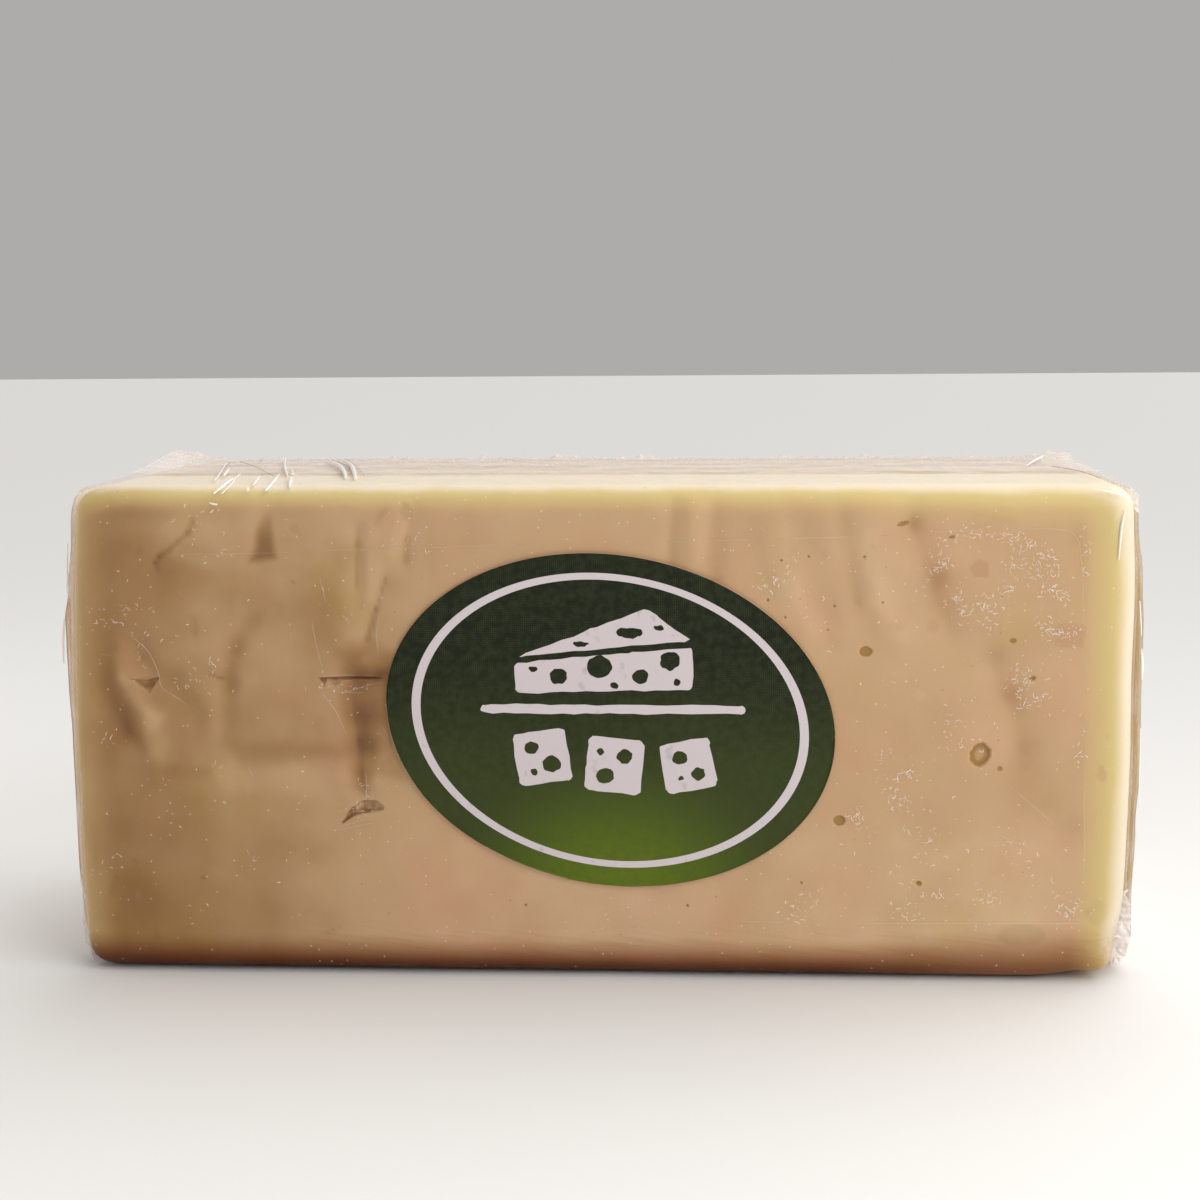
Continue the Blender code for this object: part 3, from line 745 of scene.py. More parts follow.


# Creases of the film, as fine raised lines, white ones with painted highlights and dark ones with painted
# shade: points along each with the half thickness there.
creaseHighlights = [
    [(-75.5, 12.7, 86.8, 0.07), (-70.9, -5.4, 86.7, 0.1), (-67.1, -23, 86.4, 0.16)],
    [(-71.1, 0, 86.7, 0.09), (-69.5, -7.5, 86.7, 0.34), (-68, -14.5, 86.5, 0.12)],
    [(-64.7, -20.3, 86.5, 0.12), (-63.5, -28.8, 86.3, 0.34), (-64.6, -32.3, 84.9, 0.09)],
    [(-63.8, -22.1, 86.5, 0.07), (-62.2, -29.8, 86.2, 0.16), (-63.2, -32.3, 84.9, 0.06)],
    [(-66.2, -10.1, 86.5, 0.07), (-64.2, -21.7, 86.4, 0.14)],
    [(-75.8, 16.9, 86.8, 0.12), (-74.8, 16.8, 86.9, 0.22), (-73.2, 14.3, 86.8, 0.06)],
    [(-61.4, -14.7, 86.4, 0.12), (-59.9, -21.9, 86.5, 0.32), (-58.4, -30, 86.1, 0.07)],
    [(-59.1, -30.9, 85.9, 0.08), (-58.8, -31.8, 85.4, 0.18)],
    [(-59, -10.3, 86.4, 0.07), (-56.3, -23.4, 86.5, 0.34), (-55.7, -31.8, 85.4, 0.14)],
    [
        (-66.4, 22.9, 86.9, 0.1), (-62.1, 5.4, 86.9, 0.2),
        (-57.6, -10.4, 86.5, 0.16), (-56.2, -14.9, 86.4, 0.07),
    ],
    [(-55.2, -16.9, 86.4, 0.18), (-52.9, -26.2, 86.4, 0.34), (-51.9, -30.9, 85.9, 0.12)],
    [(-59.4, 0.5, 86.8, 0.05), (-56.5, -10.4, 86.5, 0.18)],
    [
        (-57.9, 22.5, 86.9, 0.12), (-52.8, 8.4, 86.9, 0.26),
        (-48.7, -3.1, 86.8, 0.36), (-45.2, -17.3, 86.4, 0.2),
    ],
    [
        (-55.1, 21.3, 86.9, 0.14), (-51.6, 13.4, 86.9, 0.26),
        (-47.2, -1.6, 86.8, 0.36), (-43.1, -19, 86.4, 0.2),
    ],
    [(-65.3, -32.6, 83.4, 0.06), (-64.8, -32.6, 83.1, 0.16), (-64, -32.6, 83.1, 0.12)],
    [(-64.7, -32.6, 82.2, 0.05), (-65.2, -32.6, 81.7, 0.08)],
    [(76.4, -1.8, 86.8, 0.05), (79.9, 10.7, 87, 0.24), (83, 19.6, 87.1, 0.14)],
    [(82.4, 18.3, 87.1, 0.04), (81.5, 10.6, 87, 0.06)],
    [
        (88.2, -32, 82.1, 0.05), (87.8, -32.3, 80.3, 0.16),
        (87.5, -32.4, 77.8, 0.2), (87.3, -32.5, 73.6, 0.08),
    ],
    [
        (83.2, -31.6, 85.3, 0.05), (85.6, -31.9, 84.8, 0.12),
        (88, -32, 84.2, 0.12), (88.9, -31.6, 83.9, 0.06),
    ],
    [
        (91.2, -27.4, 13.9, 0.1), (92, -27.6, 12.8, 0.26),
        (91.8, -27.6, 10.5, 0.32), (91.8, -27.6, 8.5, 0.26),
    ],
    [(91.8, -27.6, 8.5, 0.2), (91.3, -27.6, 6.4, 0.1)],
    [(91.1, -27.4, 14.8, 0.18), (91.8, -27.4, 15.3, 0.1)],
    [(89.2, -29.2, 7.5, 0.07), (90.3, -28.8, 7.6, 0.14), (91.2, -28.2, 6.6, 0.07)],
    [(-93.6, -27.6, 62.6, 0.1), (-94.2, -27.7, 58.6, 0.3), (-94.1, -27.7, 54.6, 0.1)],
    [(-92.2, -27.6, 76, 0.06), (-92.5, -27.6, 72, 0.16), (-92.8, -27.7, 67, 0.06)],
    [(-93.3, -27.6, 15.6, 0.08), (-93, -27.6, 13.4, 0.3), (-92.2, -27.6, 10.8, 0.08)],
    [(92.6, -27.7, 57.8, 0.06), (92.9, -27.7, 55.2, 0.26), (92.8, -27.7, 52.4, 0.06)],
    [(92, -27.7, 66, 0.05), (92.3, -27.7, 63, 0.14), (92.5, -27.7, 60, 0.05)],
    [(92.9, -27.7, 44, 0.05), (93, -27.7, 38, 0.12), (93, -27.7, 30, 0.05)],
]
# The dark lines: painted shade along folds of the film.
creaseShadeLines = [
    [
        (-73.7, 16.1, 86.8, 0.06), (-67.9, 5.7, 86.8, 0.06),
        (-62.4, -7.2, 86.6, 0.06), (-58.7, -14.8, 86.4, 0.05),
    ],
    [(-59, 27, 86.6, 0.06), (-52.6, 13.5, 86.8, 0.06), (-47.6, -1.5, 86.7, 0.05)],
    [(-55, 26, 86.6, 0.06), (-48.8, 8.2, 86.8, 0.07), (-42.3, -15.3, 86.4, 0.05)],
    [(-72.3, 27.7, 86.6, 0.06), (-70.2, 18.7, 86.8, 0.08)],
    [(-75.2, 15, 86.8, 0.05), (-71.3, -3.4, 86.7, 0.05)],
    [
        (81.2, -0.4, 86.7, 0.05), (83.4, -5.1, 86.6, 0.06),
        (85.2, -11.9, 86.5, 0.08), (85.8, -22.5, 86.3, 0.05),
    ],
]
# Hairlines in the film's front and in the cheese, at x and z.
fineLines = [
    [(-79.7, 60), (-77.7, 58.3), (-76.4, 56), (-75.6, 53.4), (-75.4, 51.2), (-72.5, 49.6), (-70.8, 48.2)],
    [(-42.3, 65.6), (-41.8, 64.6), (-41.2, 63.1)],
    [(-36.9, 64.5), (-37.3, 61.7), (-37.5, 59.7), (-37, 56.8)],
    [(-46.8, 70.8), (-46.6, 68.8), (-45.8, 66.3)], [(-47.1, 50.6), (-45.3, 48.2), (-44.3, 46.6), (-43, 43)],
    [(-45.9, 51.9), (-44.5, 50.5), (-42.7, 50.7), (-40.7, 51.4), (-38, 52.2), (-36.6, 52.3)],
    [(-44.2, 51.2), (-42, 50.2), (-40, 50.6)], [(-47.6, 53.4), (-44.3, 53.9), (-41.2, 53.5)],
    [(-45.2, 26.9), (-42.6, 27.4), (-39.4, 28.6), (-37.2, 29.8)],
    [(-44.4, 26.4), (-41.4, 26.9), (-38.2, 27.9)],
    [(-40, 30.5), (-40.2, 32.4), (-39.8, 34.2), (-40.1, 36.4)],
    [(-38.9, 30.6), (-38.7, 32.6), (-39.1, 33.8)], [(-48.4, 63), (-47.8, 58), (-46.9, 55)],
    [(70.7, 34.5), (73.4, 32.4), (77.5, 28.6)], [(68.9, 26.3), (71.4, 25.4), (74, 24.2)],
    [(77, 61.8), (79.4, 61.4), (81.4, 60.8)], [(55, 78.2), (60, 78.3), (64.9, 78.5)],
    [(81.2, 78.1), (81.6, 76.9), (82.1, 75.6)], [(-85.6, 57.2), (-83.6, 57)],
    [(-60.6, 37.4), (-60, 36), (-59.6, 35.4)], [(-57.2, 63.8), (-56.8, 64.6)], [(14.5, 63.5), (15, 62)],
    [(-37.7, 44.2), (-36.5, 42.1)], [(-36.9, 44.5), (-35.9, 42.5)], [(-37.7, 44.2), (-36.9, 44.5)],
    [(-36.5, 42.1), (-35.9, 42.5)],
]
# The outline of something square pressed faintly into the film.
pressedLines = [
    [(-74.6, 74), (-72.6, 74.6), (-64.8, 74.6), (-52, 74.9)], [(-46, 75.2), (-30, 75.6), (-12, 76.2)],
    [(12, 76.6), (25, 77), (42, 77.4), (50, 77.8)],
    [(70, 78.7), (74.2, 78.9), (78.8, 78.6), (80.6, 77.4), (81.2, 73.6), (81.6, 66.9), (82, 56)],
    [(82.3, 47), (82.9, 32), (83.3, 20)], [(83, 11), (72, 10.7), (58, 10.6), (44, 10.5)],
    [(40, 10.5), (31, 10.4), (24, 10.6)],
]


def tubesAlong(name, paths, sides=1, steps=8, bold=1.0):
    data = bpy.data.curves.new(name, "CURVE")
    data.dimensions = "3D"
    data.bevel_depth = 1.0
    data.bevel_resolution = sides
    data.resolution_u = steps
    data.use_fill_caps = True
    for path in paths:
        spline = data.splines.new("NURBS")
        spline.points.add(len(path) - 1)
        spline.order_u = min(3, len(path))
        spline.use_endpoint_u = True
        for point, (x, y, z, thick) in zip(spline.points, path):
            point.co = (x, y, z, 1.0)
            point.radius = thick * bold
    drawn = addObject(name + "_curve", data)
    bm = bmesh.new()
    shape = drawn.evaluated_get(bpy.context.evaluated_depsgraph_get())
    bm.from_mesh(bpy.data.meshes.new_from_object(shape))
    bpy.data.objects.remove(drawn)
    return makePiece(name, bm)


def hairline(path, thick=0.033):
    ends = len(path) - 1
    front = -block["size"][1] / 2 - film["offset"] - 0.02
    points = []
    for number, (x, z) in enumerate(path):
        y = front + faceDepth(x, z)
        points.append((x, y, z, 0.02 if number in (0, ends) else thick))
    return points


# Curly scratches in clusters: x, z, spread of both, number.
curlClusters = [
    (62.2, 78.1, 1.3, 0.9, 7), (58.7, 74.5, 0.9, 1, 8), (57.1, 72, 0.9, 0.9, 7), (60.7, 67.5, 0.8, 1, 8),
    (62.1, 65, 0.9, 0.9, 7), (65.1, 66.1, 1, 0.9, 8), (68.7, 68.1, 1, 0.8, 6), (66, 77.8, 1.3, 0.5, 5),
    (69.8, 77.5, 1.1, 0.8, 8), (72, 75.9, 1, 0.9, 9), (69.9, 72.8, 1, 0.7, 7), (73.5, 71.1, 1.1, 1, 9),
    (75.3, 74.2, 1, 1, 8), (77, 72, 0.8, 1.1, 7), (76, 68.1, 0.7, 0.7, 7), (78.2, 67.8, 0.9, 0.7, 7),
    (77, 61.6, 1.3, 0.7, 10), (80.1, 61.1, 1, 0.8, 7), (72, 54, 1.1, 1.1, 9), (72.1, 51.7, 1.2, 0.9, 8),
    (74, 49.7, 1.2, 1.1, 9), (75.1, 62.7, 1, 0.8, 6), (66.3, 63, 1.4, 1, 6), (81.6, 73.9, 0.4, 2, 5),
    (61, 43, 1.8, 1.4, 7), (61.5, 46.5, 1.4, 1.4, 6), (53.6, 37, 1, 0.8, 8), (50.6, 33.9, 1, 1.6, 8),
    (52.3, 31.9, 0.9, 0.9, 6), (56.4, 25.6, 1.4, 1.4, 7), (49.1, 40.2, 0.9, 0.9, 5),
    (44.4, 29.2, 1.1, 1, 8), (58.4, 15.4, 1.1, 0.8, 6), (66.1, 15.3, 1, 0.8, 8), (53.5, 12.6, 1.6, 0.9, 7),
    (81, 12.9, 1.6, 1.5, 16), (71.5, 23, 1.6, 1.2, 6), (36.9, 15.2, 1.2, 1.2, 5), (34.3, 12.3, 1.1, 1.1, 6),
    (81.9, 39.6, 0.5, 2, 5), (60, 20, 8, 5, 22), (32, 70, 2.4, 2.4, 8), (28.5, 68, 1.6, 2, 8),
    (34.5, 61, 2, 2.4, 6), (-82.2, 65.1, 3, 0.6, 12), (-84.5, 62.6, 2.4, 0.8, 9),
    (-78.3, 59.8, 1.4, 1.4, 6), (-73, 55, 3, 3, 12), (-66.4, 54.7, 1.3, 1.2, 6), (-68, 51.4, 1.6, 1.4, 7),
    (-42.4, 64.9, 0.7, 1.4, 5), (-45.6, 67.7, 0.5, 1.4, 3), (-43.4, 51.3, 3.2, 0.4, 12),
    (-31.6, 75.9, 3, 0.5, 8), (-62.7, 75.5, 1.6, 1, 5), (-68, 79.8, 2, 1.6, 9), (-84.1, 20, 1.3, 1.3, 6),
    (-60.2, 20.8, 0.9, 1.1, 6), (-66.2, 38, 0.6, 0.9, 3), (-75.6, 35.4, 0.5, 0.7, 3),
    (-40.2, 33, 0.5, 1.6, 8), (-41, 30.2, 2, 0.5, 8), (-85.6, 41.5, 2, 0.8, 5), (-37, 43.6, 0.5, 0.8, 8),
]
# Short dashes that catch the light: x, z and the direction in degrees.
brightDashes = [
    (47.9, 63.1, 60), (67.5, 45.8, -70), (45, 52.5, -75), (-70.1, 62.4, 0), (80, 23.8, -30),
    (74.5, 19.3, 60), (-62.8, 50.7, 80), (-70.4, 74.3, 0), (-66.5, 73.1, 20), (-59.3, 66.7, 40),
    (-65, 56.3, 60), (-81.7, 71.7, 0), (-69.7, 36.9, 90), (-73, 26.6, -40), (-51, 36.6, 0), (-56, 16.7, 0),
    (-68.8, 12.5, -60), (-71.7, 9, 10),
]
scratching = {
    "seed": 5,
    "step": 0.20,
    "steps": (2, 6),
    "turn": 85.0,
    "thick": (0.020, 0.048),
    "curls": 1.7,
    "leftShare": 0.5,
    "crumbs": 1.6,  # for each curl, so many crumbs beside it
    "dashLength": 0.55,
    "dashThick": 0.10,
    "strewn": 420,
    "strewnLength": (0.08, 0.50),
    "strewnThick": (0.03, 0.07),
    "crumbLength": (0.06, 0.3),
    "crumbThick": (0.025, 0.06),
    "crumbSpread": 1.3,
}


def dash(x, z, heading, length, thick):
    dx, dz = length / 2 * math.cos(heading), length / 2 * math.sin(heading)
    return hairline([(x - dx, z - dz), (x, z), (x + dx, z + dz)], thick)


def underSticker(x, z):
    (centreX, centreZ), (halfX, halfZ) = sticker["centre"], sticker["half"]
    return math.hypot((x - centreX) / halfX, (z - centreZ) / halfZ) < 1.04


def makeScratches():
    draw, paths = random.Random(scratching["seed"]), []
    for x, z, spreadX, spreadZ, count in curlClusters:
        fewer = 1.0 if x > 0 else scratching["leftShare"]
        for _ in range(int(scratching["curls"] * fewer * count)):
            px, pz, heading = draw.gauss(x, spreadX), draw.gauss(z, spreadZ), draw.uniform(0, 360)
            path = [(px, pz)]
            for _ in range(draw.randint(*scratching["steps"])):
                heading += draw.uniform(-scratching["turn"], scratching["turn"])
                px += scratching["step"] * math.cos(math.radians(heading))
                pz += scratching["step"] * math.sin(math.radians(heading))
                path.append((px, pz))
            thick = draw.uniform(*scratching["thick"]) * (0.6 + 0.4 * fewer)
            if not underSticker(px, pz):
                paths.append(hairline(path, thick))
        for _ in range(int(scratching["crumbs"] * fewer * count)):
            px = draw.gauss(x, scratching["crumbSpread"] * spreadX)
            pz = draw.gauss(z, scratching["crumbSpread"] * spreadZ)
            if not underSticker(px, pz):
                heading, length = draw.uniform(0, math.pi), draw.uniform(*scratching["crumbLength"])
                paths.append(dash(px, pz, heading, length, draw.uniform(*scratching["crumbThick"])))
    for x, z, heading in brightDashes:
        paths.append(dash(x, z, math.radians(heading), scratching["dashLength"], scratching["dashThick"]))
    for _ in range(scratching["strewn"]):
        x, z, heading = draw.uniform(-86, 86), draw.uniform(4, 81), draw.uniform(0, math.pi)
        length, thick = draw.uniform(*scratching["strewnLength"]), draw.uniform(*scratching["strewnThick"])
        kept = x > 0 or draw.random() < scratching["leftShare"]
        if kept and not underSticker(x, z):
            paths.append(dash(x, z, heading, length, thick))
    return tubesAlong("film_scratches", paths, sides=0, steps=2)


# Small crumpled bits of film: four corners as x and z, the depth they lie at, roughness.
crumples = [
    ([(88.3, 8.0), (92.2, 6.7), (92.2, 12.9), (90.8, 15.6)], -28.3, 0.42),
    ([(89.2, 1.8), (91.5, 3.8), (92.3, 7.2), (88.2, 8.4)], -28.5, 0.42),
    ([(90.1, 82.1), (91.2, 81.0), (91.3, 84.2), (89.7, 84.9)], -27.8, 0.35),
    ([(-92.6, 1.6), (-91.0, 0.9), (-91.5, 5.5), (-93.3, 9.0)], -27.8, 0.35),
]
crumpling = {"cuts": (9, 14), "pitch": 0.8, "sheet": 0.06}


def makeCrumples():
    bm = bmesh.new()
    for corners, depth, rough in crumples:
        for vert in addGrid(bm, crumpling["cuts"]):
            u, v = vert.co.x + 0.5, vert.co.y + 0.5
            low = Vector(corners[0]).lerp(Vector(corners[1]), u)
            place = low.lerp(Vector(corners[3]).lerp(Vector(corners[2]), u), v)
            bent = noise.noise_vector(Vector((place.x, 5.0, place.y)) * crumpling["pitch"])
            fold = 1 - 2.2 * abs(bent.y)
            x, z = place.x + 0.5 * rough * bent.x, place.y + 0.5 * rough * bent.z
            vert.co = Vector((x, depth - rough * fold, z))
    thicken(bm, crumpling["sheet"])
    return makePiece("film_crumples", bm, smooth=False)


crumplePiece = makeCrumples()
creaseHighlightPiece = tubesAlong("film_crease_highlights", creaseHighlights, bold=1.3)
creaseShadePiece = tubesAlong("film_fold_lines", creaseShadeLines)
hairlines = [hairline(path) for path in fineLines] + [hairline(path, 0.024) for path in pressedLines]
finePiece = tubesAlong("film_hairlines", hairlines)


sticker = {
    "centre": (2.4, 45.8),
    "half": (38.6, 28.7),
    "lean": -9.7,
    "back": -32.68,
    "sheet": 0.30,
    "edge": 0.16,
    "cuts": (110, 84),
    "press": 0.35,  # how far it follows the hollows behind it
    "printSheet": 0.03,
    "printStep": 2.0,
    "printRough": 0.10,
}
# The print, measured from the sticker's middle.
stickerPrint = {
    "ring": (0.885, 0.845),
    "bar": {"centre": (0.6, 2.2), "half": (22.6, 0.75)},
    "wedgeSide": [(-16.0, 5.0), (14.2, 5.6), (14.2, 13.0), (-16.0, 10.2)],
    "wedgeTop": [(-15.6, 11.3), (14.0, 14.1), (6.5, 19.6)],
    "wedgeHoles": [
        (-8.6, 7.9, 1.5, 1.4), (-1.6, 9.6, 2.1, 1.9), (5.4, 7.9, 1.3, 1.2), (10.4, 10.6, 1.7, 1.6),
        (-12.9, 9.1, 0.7, 0.6), (1, 6.4, 0.6, 0.5), (11.6, 6.9, 0.6, 0.6), (3.6, 15.4, 2.2, 0.9),
        (-4.6, 13.5, 1.3, 0.5), (8.6, 16.3, 0.9, 0.4),
    ],
    "slices": [(-11.6, -6.2, 4.6, 8), (0.8, -7.6, 4.8, -6), (13.4, -7.6, 4.4, 11)],
    "sliceHoles": [
        (-13.4, -4.6, 1.2, 1.1), (-10, -7.4, 1.5, 1.4), (-13, -8.8, 0.6, 0.6), (-0.8, -9.4, 1.5, 1.4),
        (2.6, -6, 1.3, 1.3), (-1.6, -5.2, 0.7, 0.6), (12, -6.2, 1.3, 1.2), (15.2, -9, 1.1, 1.1),
        (12.2, -9.8, 0.5, 0.5),
    ],
}
squareCorners = ((-1, -1), (1, -1), (1, 1), (-1, 1))


def stickerFront(x, z):
    depth = faceDepth(x, z)
    pressed = sticker["press"] * max(depth, -0.1) + 0.6 * min(depth + 0.1, 0.0)
    return sticker["back"] - sticker["sheet"] + pressed


def extruded(bm):
    top = bmesh.ops.extrude_face_region(bm, geom=bm.faces[:])
    return {item for item in top["geom"] if isinstance(item, bmesh.types.BMVert)}


# Lays a flat shape on the sticker, raised off it, with cuts so that it follows the bends.
def layOnSticker(name, bm, level, lean=0.0, rough=0.0):
    step = sticker["printStep"]
    for axis, reach in ((Vector((1, 0, 0)), 40), (Vector((0, 1, 0)), 30)):
        for number in range(int(-reach / step), int(reach / step)):
            parts = bm.verts[:] + bm.edges[:] + bm.faces[:]
            bmesh.ops.bisect_plane(bm, geom=parts, dist=1e-4, plane_co=axis * number * step, plane_no=axis)
    bmesh.ops.rotate(bm, verts=bm.verts, matrix=Matrix.Rotation(math.radians(lean), 3, "Z"))
    raised = extruded(bm)
    for vert in bm.verts:
        u, v = vert.co.x, vert.co.y
        if rough:
            u += rough * waveAt(u * 1.1, v * 1.1, 4.0)
            v += rough * waveAt(u * 1.1, v * 1.1, 9.0)
        x, z = sticker["centre"][0] + u, sticker["centre"][1] + v
        height = level + (sticker["printSheet"] if vert in raised else 0.0)
        vert.co = Vector((x, stickerFront(x, z) - height, z))
    bmesh.ops.recalc_face_normals(bm, faces=bm.faces[:])
    return makePiece(name, bm, smooth=False)


def ellipse(bm, centre, half, sides=28):
    disc = bmesh.ops.create_circle(bm, cap_ends=True, segments=sides, radius=1.0)
    bmesh.ops.scale(bm, vec=(*half, 1.0), verts=disc["verts"])
    bmesh.ops.translate(bm, vec=(*centre, 0.0), verts=disc["verts"])


def outlined(bm, corners, rounding=0.5):
    verts = [bm.verts.new((*corner, 0.0)) for corner in corners]
    bm.faces.new(verts)
    soften = {"segments": 4, "profile": 0.5, "affect": "VERTICES", "material": -1}
    bmesh.ops.bevel(bm, geom=verts, offset=rounding, **soften)


def makeSticker():
    bm = bmesh.new()
    addGrid(bm, sticker["cuts"], size=1.0)
    for vert in bm.verts:  # the square becomes a disc, then the leaning oval
        u, v = vert.co.x, vert.co.y
        vert.co = Vector((u * math.sqrt(1 - v * v / 2), v * math.sqrt(1 - u * u / 2), 0.0))
    bmesh.ops.scale(bm, vec=(*sticker["half"], 1.0), verts=bm.verts)
    bmesh.ops.rotate(bm, verts=bm.verts, matrix=Matrix.Rotation(math.radians(sticker["lean"]), 3, "Z"))
    raised = extruded(bm)
    walls = [face for face in bm.faces if len({vert in raised for vert in face.verts}) == 2]
    rim = [edge for face in walls for edge in face.edges if all(vert in raised for vert in edge.verts)]
    for vert in bm.verts:
        x, z = sticker["centre"][0] + vert.co.x, sticker["centre"][1] + vert.co.y
        vert.co = Vector((x, stickerFront(x, z) + (0.0 if vert in raised else sticker["sheet"]), z))
    soften = {"segments": 3, "profile": 0.5, "affect": "EDGES", "material": -1}
    bmesh.ops.bevel(bm, geom=rim, offset=sticker["edge"], **soften)
    bmesh.ops.recalc_face_normals(bm, faces=bm.faces[:])
    return makePiece("label_sticker", bm)


def makePrint():
    ring = bmesh.new()
    outer, inner = stickerPrint["ring"]
    loops = []
    for share in (outer, inner):
        made = bmesh.ops.create_circle(ring, cap_ends=False, segments=180, radius=share)
        loops += dict.fromkeys(edge for vert in made["verts"] for edge in vert.link_edges)
    bmesh.ops.bridge_loops(ring, edges=list(loops))
    bmesh.ops.scale(ring, vec=(*sticker["half"], 1.0), verts=ring.verts)
    ringPiece = layOnSticker("label_ring", ring, 0.0, lean=sticker["lean"])

    picture = bmesh.new()
    (u, v), (halfLong, halfHigh) = stickerPrint["bar"]["centre"], stickerPrint["bar"]["half"]
    outlined(picture, [(u + a * halfLong, v + b * halfHigh) for a, b in squareCorners], halfHigh * 0.95)
    outlined(picture, stickerPrint["wedgeSide"], 0.8)
    outlined(picture, stickerPrint["wedgeTop"], 0.6)
    for u, v, half, lean in stickerPrint["slices"]:
        turn = Matrix.Rotation(math.radians(lean), 2)
        corners = [turn @ Vector((a * half, b * half)) for a, b in squareCorners]
        outlined(picture, [(u + corner.x, v + corner.y) for corner in corners], 1.0)
    picturePiece = layOnSticker("label_picture", picture, 0.0, rough=sticker["printRough"] * 3)

    holes = bmesh.new()
    for u, v, halfWide, halfHigh in stickerPrint["wedgeHoles"] + stickerPrint["sliceHoles"]:
        ellipse(holes, (u, v), (halfWide, halfHigh))
    holesPiece = layOnSticker("label_picture_holes", holes, 0.02, rough=sticker["printRough"] * 3)
    return ringPiece, picturePiece, holesPiece


scratchPiece = makeScratches()
print("creases and scratches made:", len(scratchPiece.data.polygons), "faces of scratches")
stickerPiece = makeSticker()
ringPiece, picturePiece, holesPiece = makePrint()
print("sticker made")


def addNode(tree, kind, inputs=None, **settings):
    node = tree.nodes.new(kind)
    for key, value in settings.items():
        setattr(node, key, value)
    for key, value in (inputs or {}).items():
        if isinstance(value, bpy.types.NodeSocket):
            tree.links.new(value, node.inputs[key])
        else:
            node.inputs[key].default_value = value
    return node


def newMaterial(name):
    material = bpy.data.materials.new(name)
    material.use_nodes = True
    tree = material.node_tree
    tree.nodes.clear()
    return material, tree, addNode(tree, "ShaderNodeOutputMaterial")


def addSurface(tree, output, inputs):
    shader = addNode(tree, "ShaderNodeBsdfPrincipled", inputs)
    tree.links.new(shader.outputs[0], output.inputs["Surface"])


def newGroup(name, inputs, outputs):
    group = bpy.data.node_groups.new(name, "ShaderNodeTree")
    for socket, value in inputs.items():
        made = group.interface.new_socket(socket, in_out="INPUT", socket_type="NodeSocketFloat")
        made.default_value = value
    for socket in outputs:
        group.interface.new_socket(socket, in_out="OUTPUT", socket_type="NodeSocketFloat")
    return group, addNode(group, "NodeGroupInput"), addNode(group, "NodeGroupOutput")


def placedGroup(tree, group, inputs):
    node = addNode(tree, "ShaderNodeGroup", node_tree=group)
    for key, value in inputs.items():
        node.inputs[key].default_value = value
    return node.outputs[0]


def maths(tree, operation, first, second=None, third=None):
    given = enumerate((first, second, third))
    inputs = {number: value for number, value in given if value is not None}
    return addNode(tree, "ShaderNodeMath", inputs, operation=operation).outputs[0]


def times(tree, first, second):
    return maths(tree, "MULTIPLY", first, second)


def ranged(tree, value, low, high, toLow=0.0, toHigh=1.0):
    inputs = {"Value": value, "From Min": low, "From Max": high, "To Min": toLow, "To Max": toHigh}
    return addNode(tree, "ShaderNodeMapRange", inputs, interpolation_type="SMOOTHSTEP").outputs[0]


def mixColour(tree, factor, first, second, blend="MIX"):
    inputs = {0: factor}
    for number, colour in ((6, first), (7, second)):
        inputs[number] = (*colour, 1.0) if isinstance(colour, tuple) else colour
    node = addNode(tree, "ShaderNodeMix", inputs, data_type="RGBA", blend_type=blend)
    return node.outputs[2]


def clamped(tree, value):
    return addNode(tree, "ShaderNodeClamp", {"Value": value}).outputs[0]


def attribute(tree, name):
    return addNode(tree, "ShaderNodeAttribute", attribute_name=name).outputs["Fac"]


def objectPlace(tree):
    return addNode(tree, "ShaderNodeTexCoord").outputs["Object"]


def axisOf(tree, axis):
    return addNode(tree, "ShaderNodeSeparateXYZ", {"Vector": objectPlace(tree)}).outputs[axis]


def noiseOf(tree, scale, detail=2.0, vector=None):
    inputs = {"Vector": vector or objectPlace(tree), "Scale": scale, "Detail": detail}
    return addNode(tree, "ShaderNodeTexNoise", inputs).outputs["Fac"]


def stretchedNoise(tree, scale, detail, stretch):
    place = addNode(tree, "ShaderNodeMapping", {"Vector": objectPlace(tree), "Scale": stretch})
    return noiseOf(tree, scale, detail, place.outputs[0])


# Small specks, strewn at random. Radius is a share of the cell.
def makeSpeckGroup():
    group, given, out = newGroup("strewn specks", {"Scale": 300.0, "Radius": 0.06, "Share": 0.5}, ["Mask"])
    inputs = {"Vector": objectPlace(group), "Scale": given.outputs["Scale"]}
    cells = addNode(group, "ShaderNodeTexVoronoi", inputs)
    near = maths(group, "SUBTRACT", given.outputs["Radius"], cells.outputs["Distance"])
    dot = clamped(group, times(group, near, 60.0))
    draw = addNode(group, "ShaderNodeSeparateColor", {"Color": cells.outputs["Color"]}).outputs[0]
    kept = maths(group, "LESS_THAN", draw, given.outputs["Share"])
    group.links.new(times(group, dot, kept), out.inputs["Mask"])
    return group


# A fine diagonal weave of the size given, as height from 0 to 1.
def makeWeaveGroup():
    group, given, out = newGroup("fine weave", {"Pitch": 0.00068}, ["Height"])
    turns = maths(group, "DIVIDE", 2 * math.pi, given.outputs["Pitch"])
    side, flat = axisOf(group, "X"), maths(group, "ADD", axisOf(group, "Z"), axisOf(group, "Y"))
    across, along = (
        maths(group, "SINE", times(group, maths(group, operation, side, flat), turns))
        for operation in ("ADD", "SUBTRACT")
    )
    height = maths(group, "MULTIPLY_ADD", times(group, across, along), 0.5, 0.5)
    group.links.new(height, out.inputs["Height"])
    return group


specks = makeSpeckGroup()
weave = makeWeaveGroup()

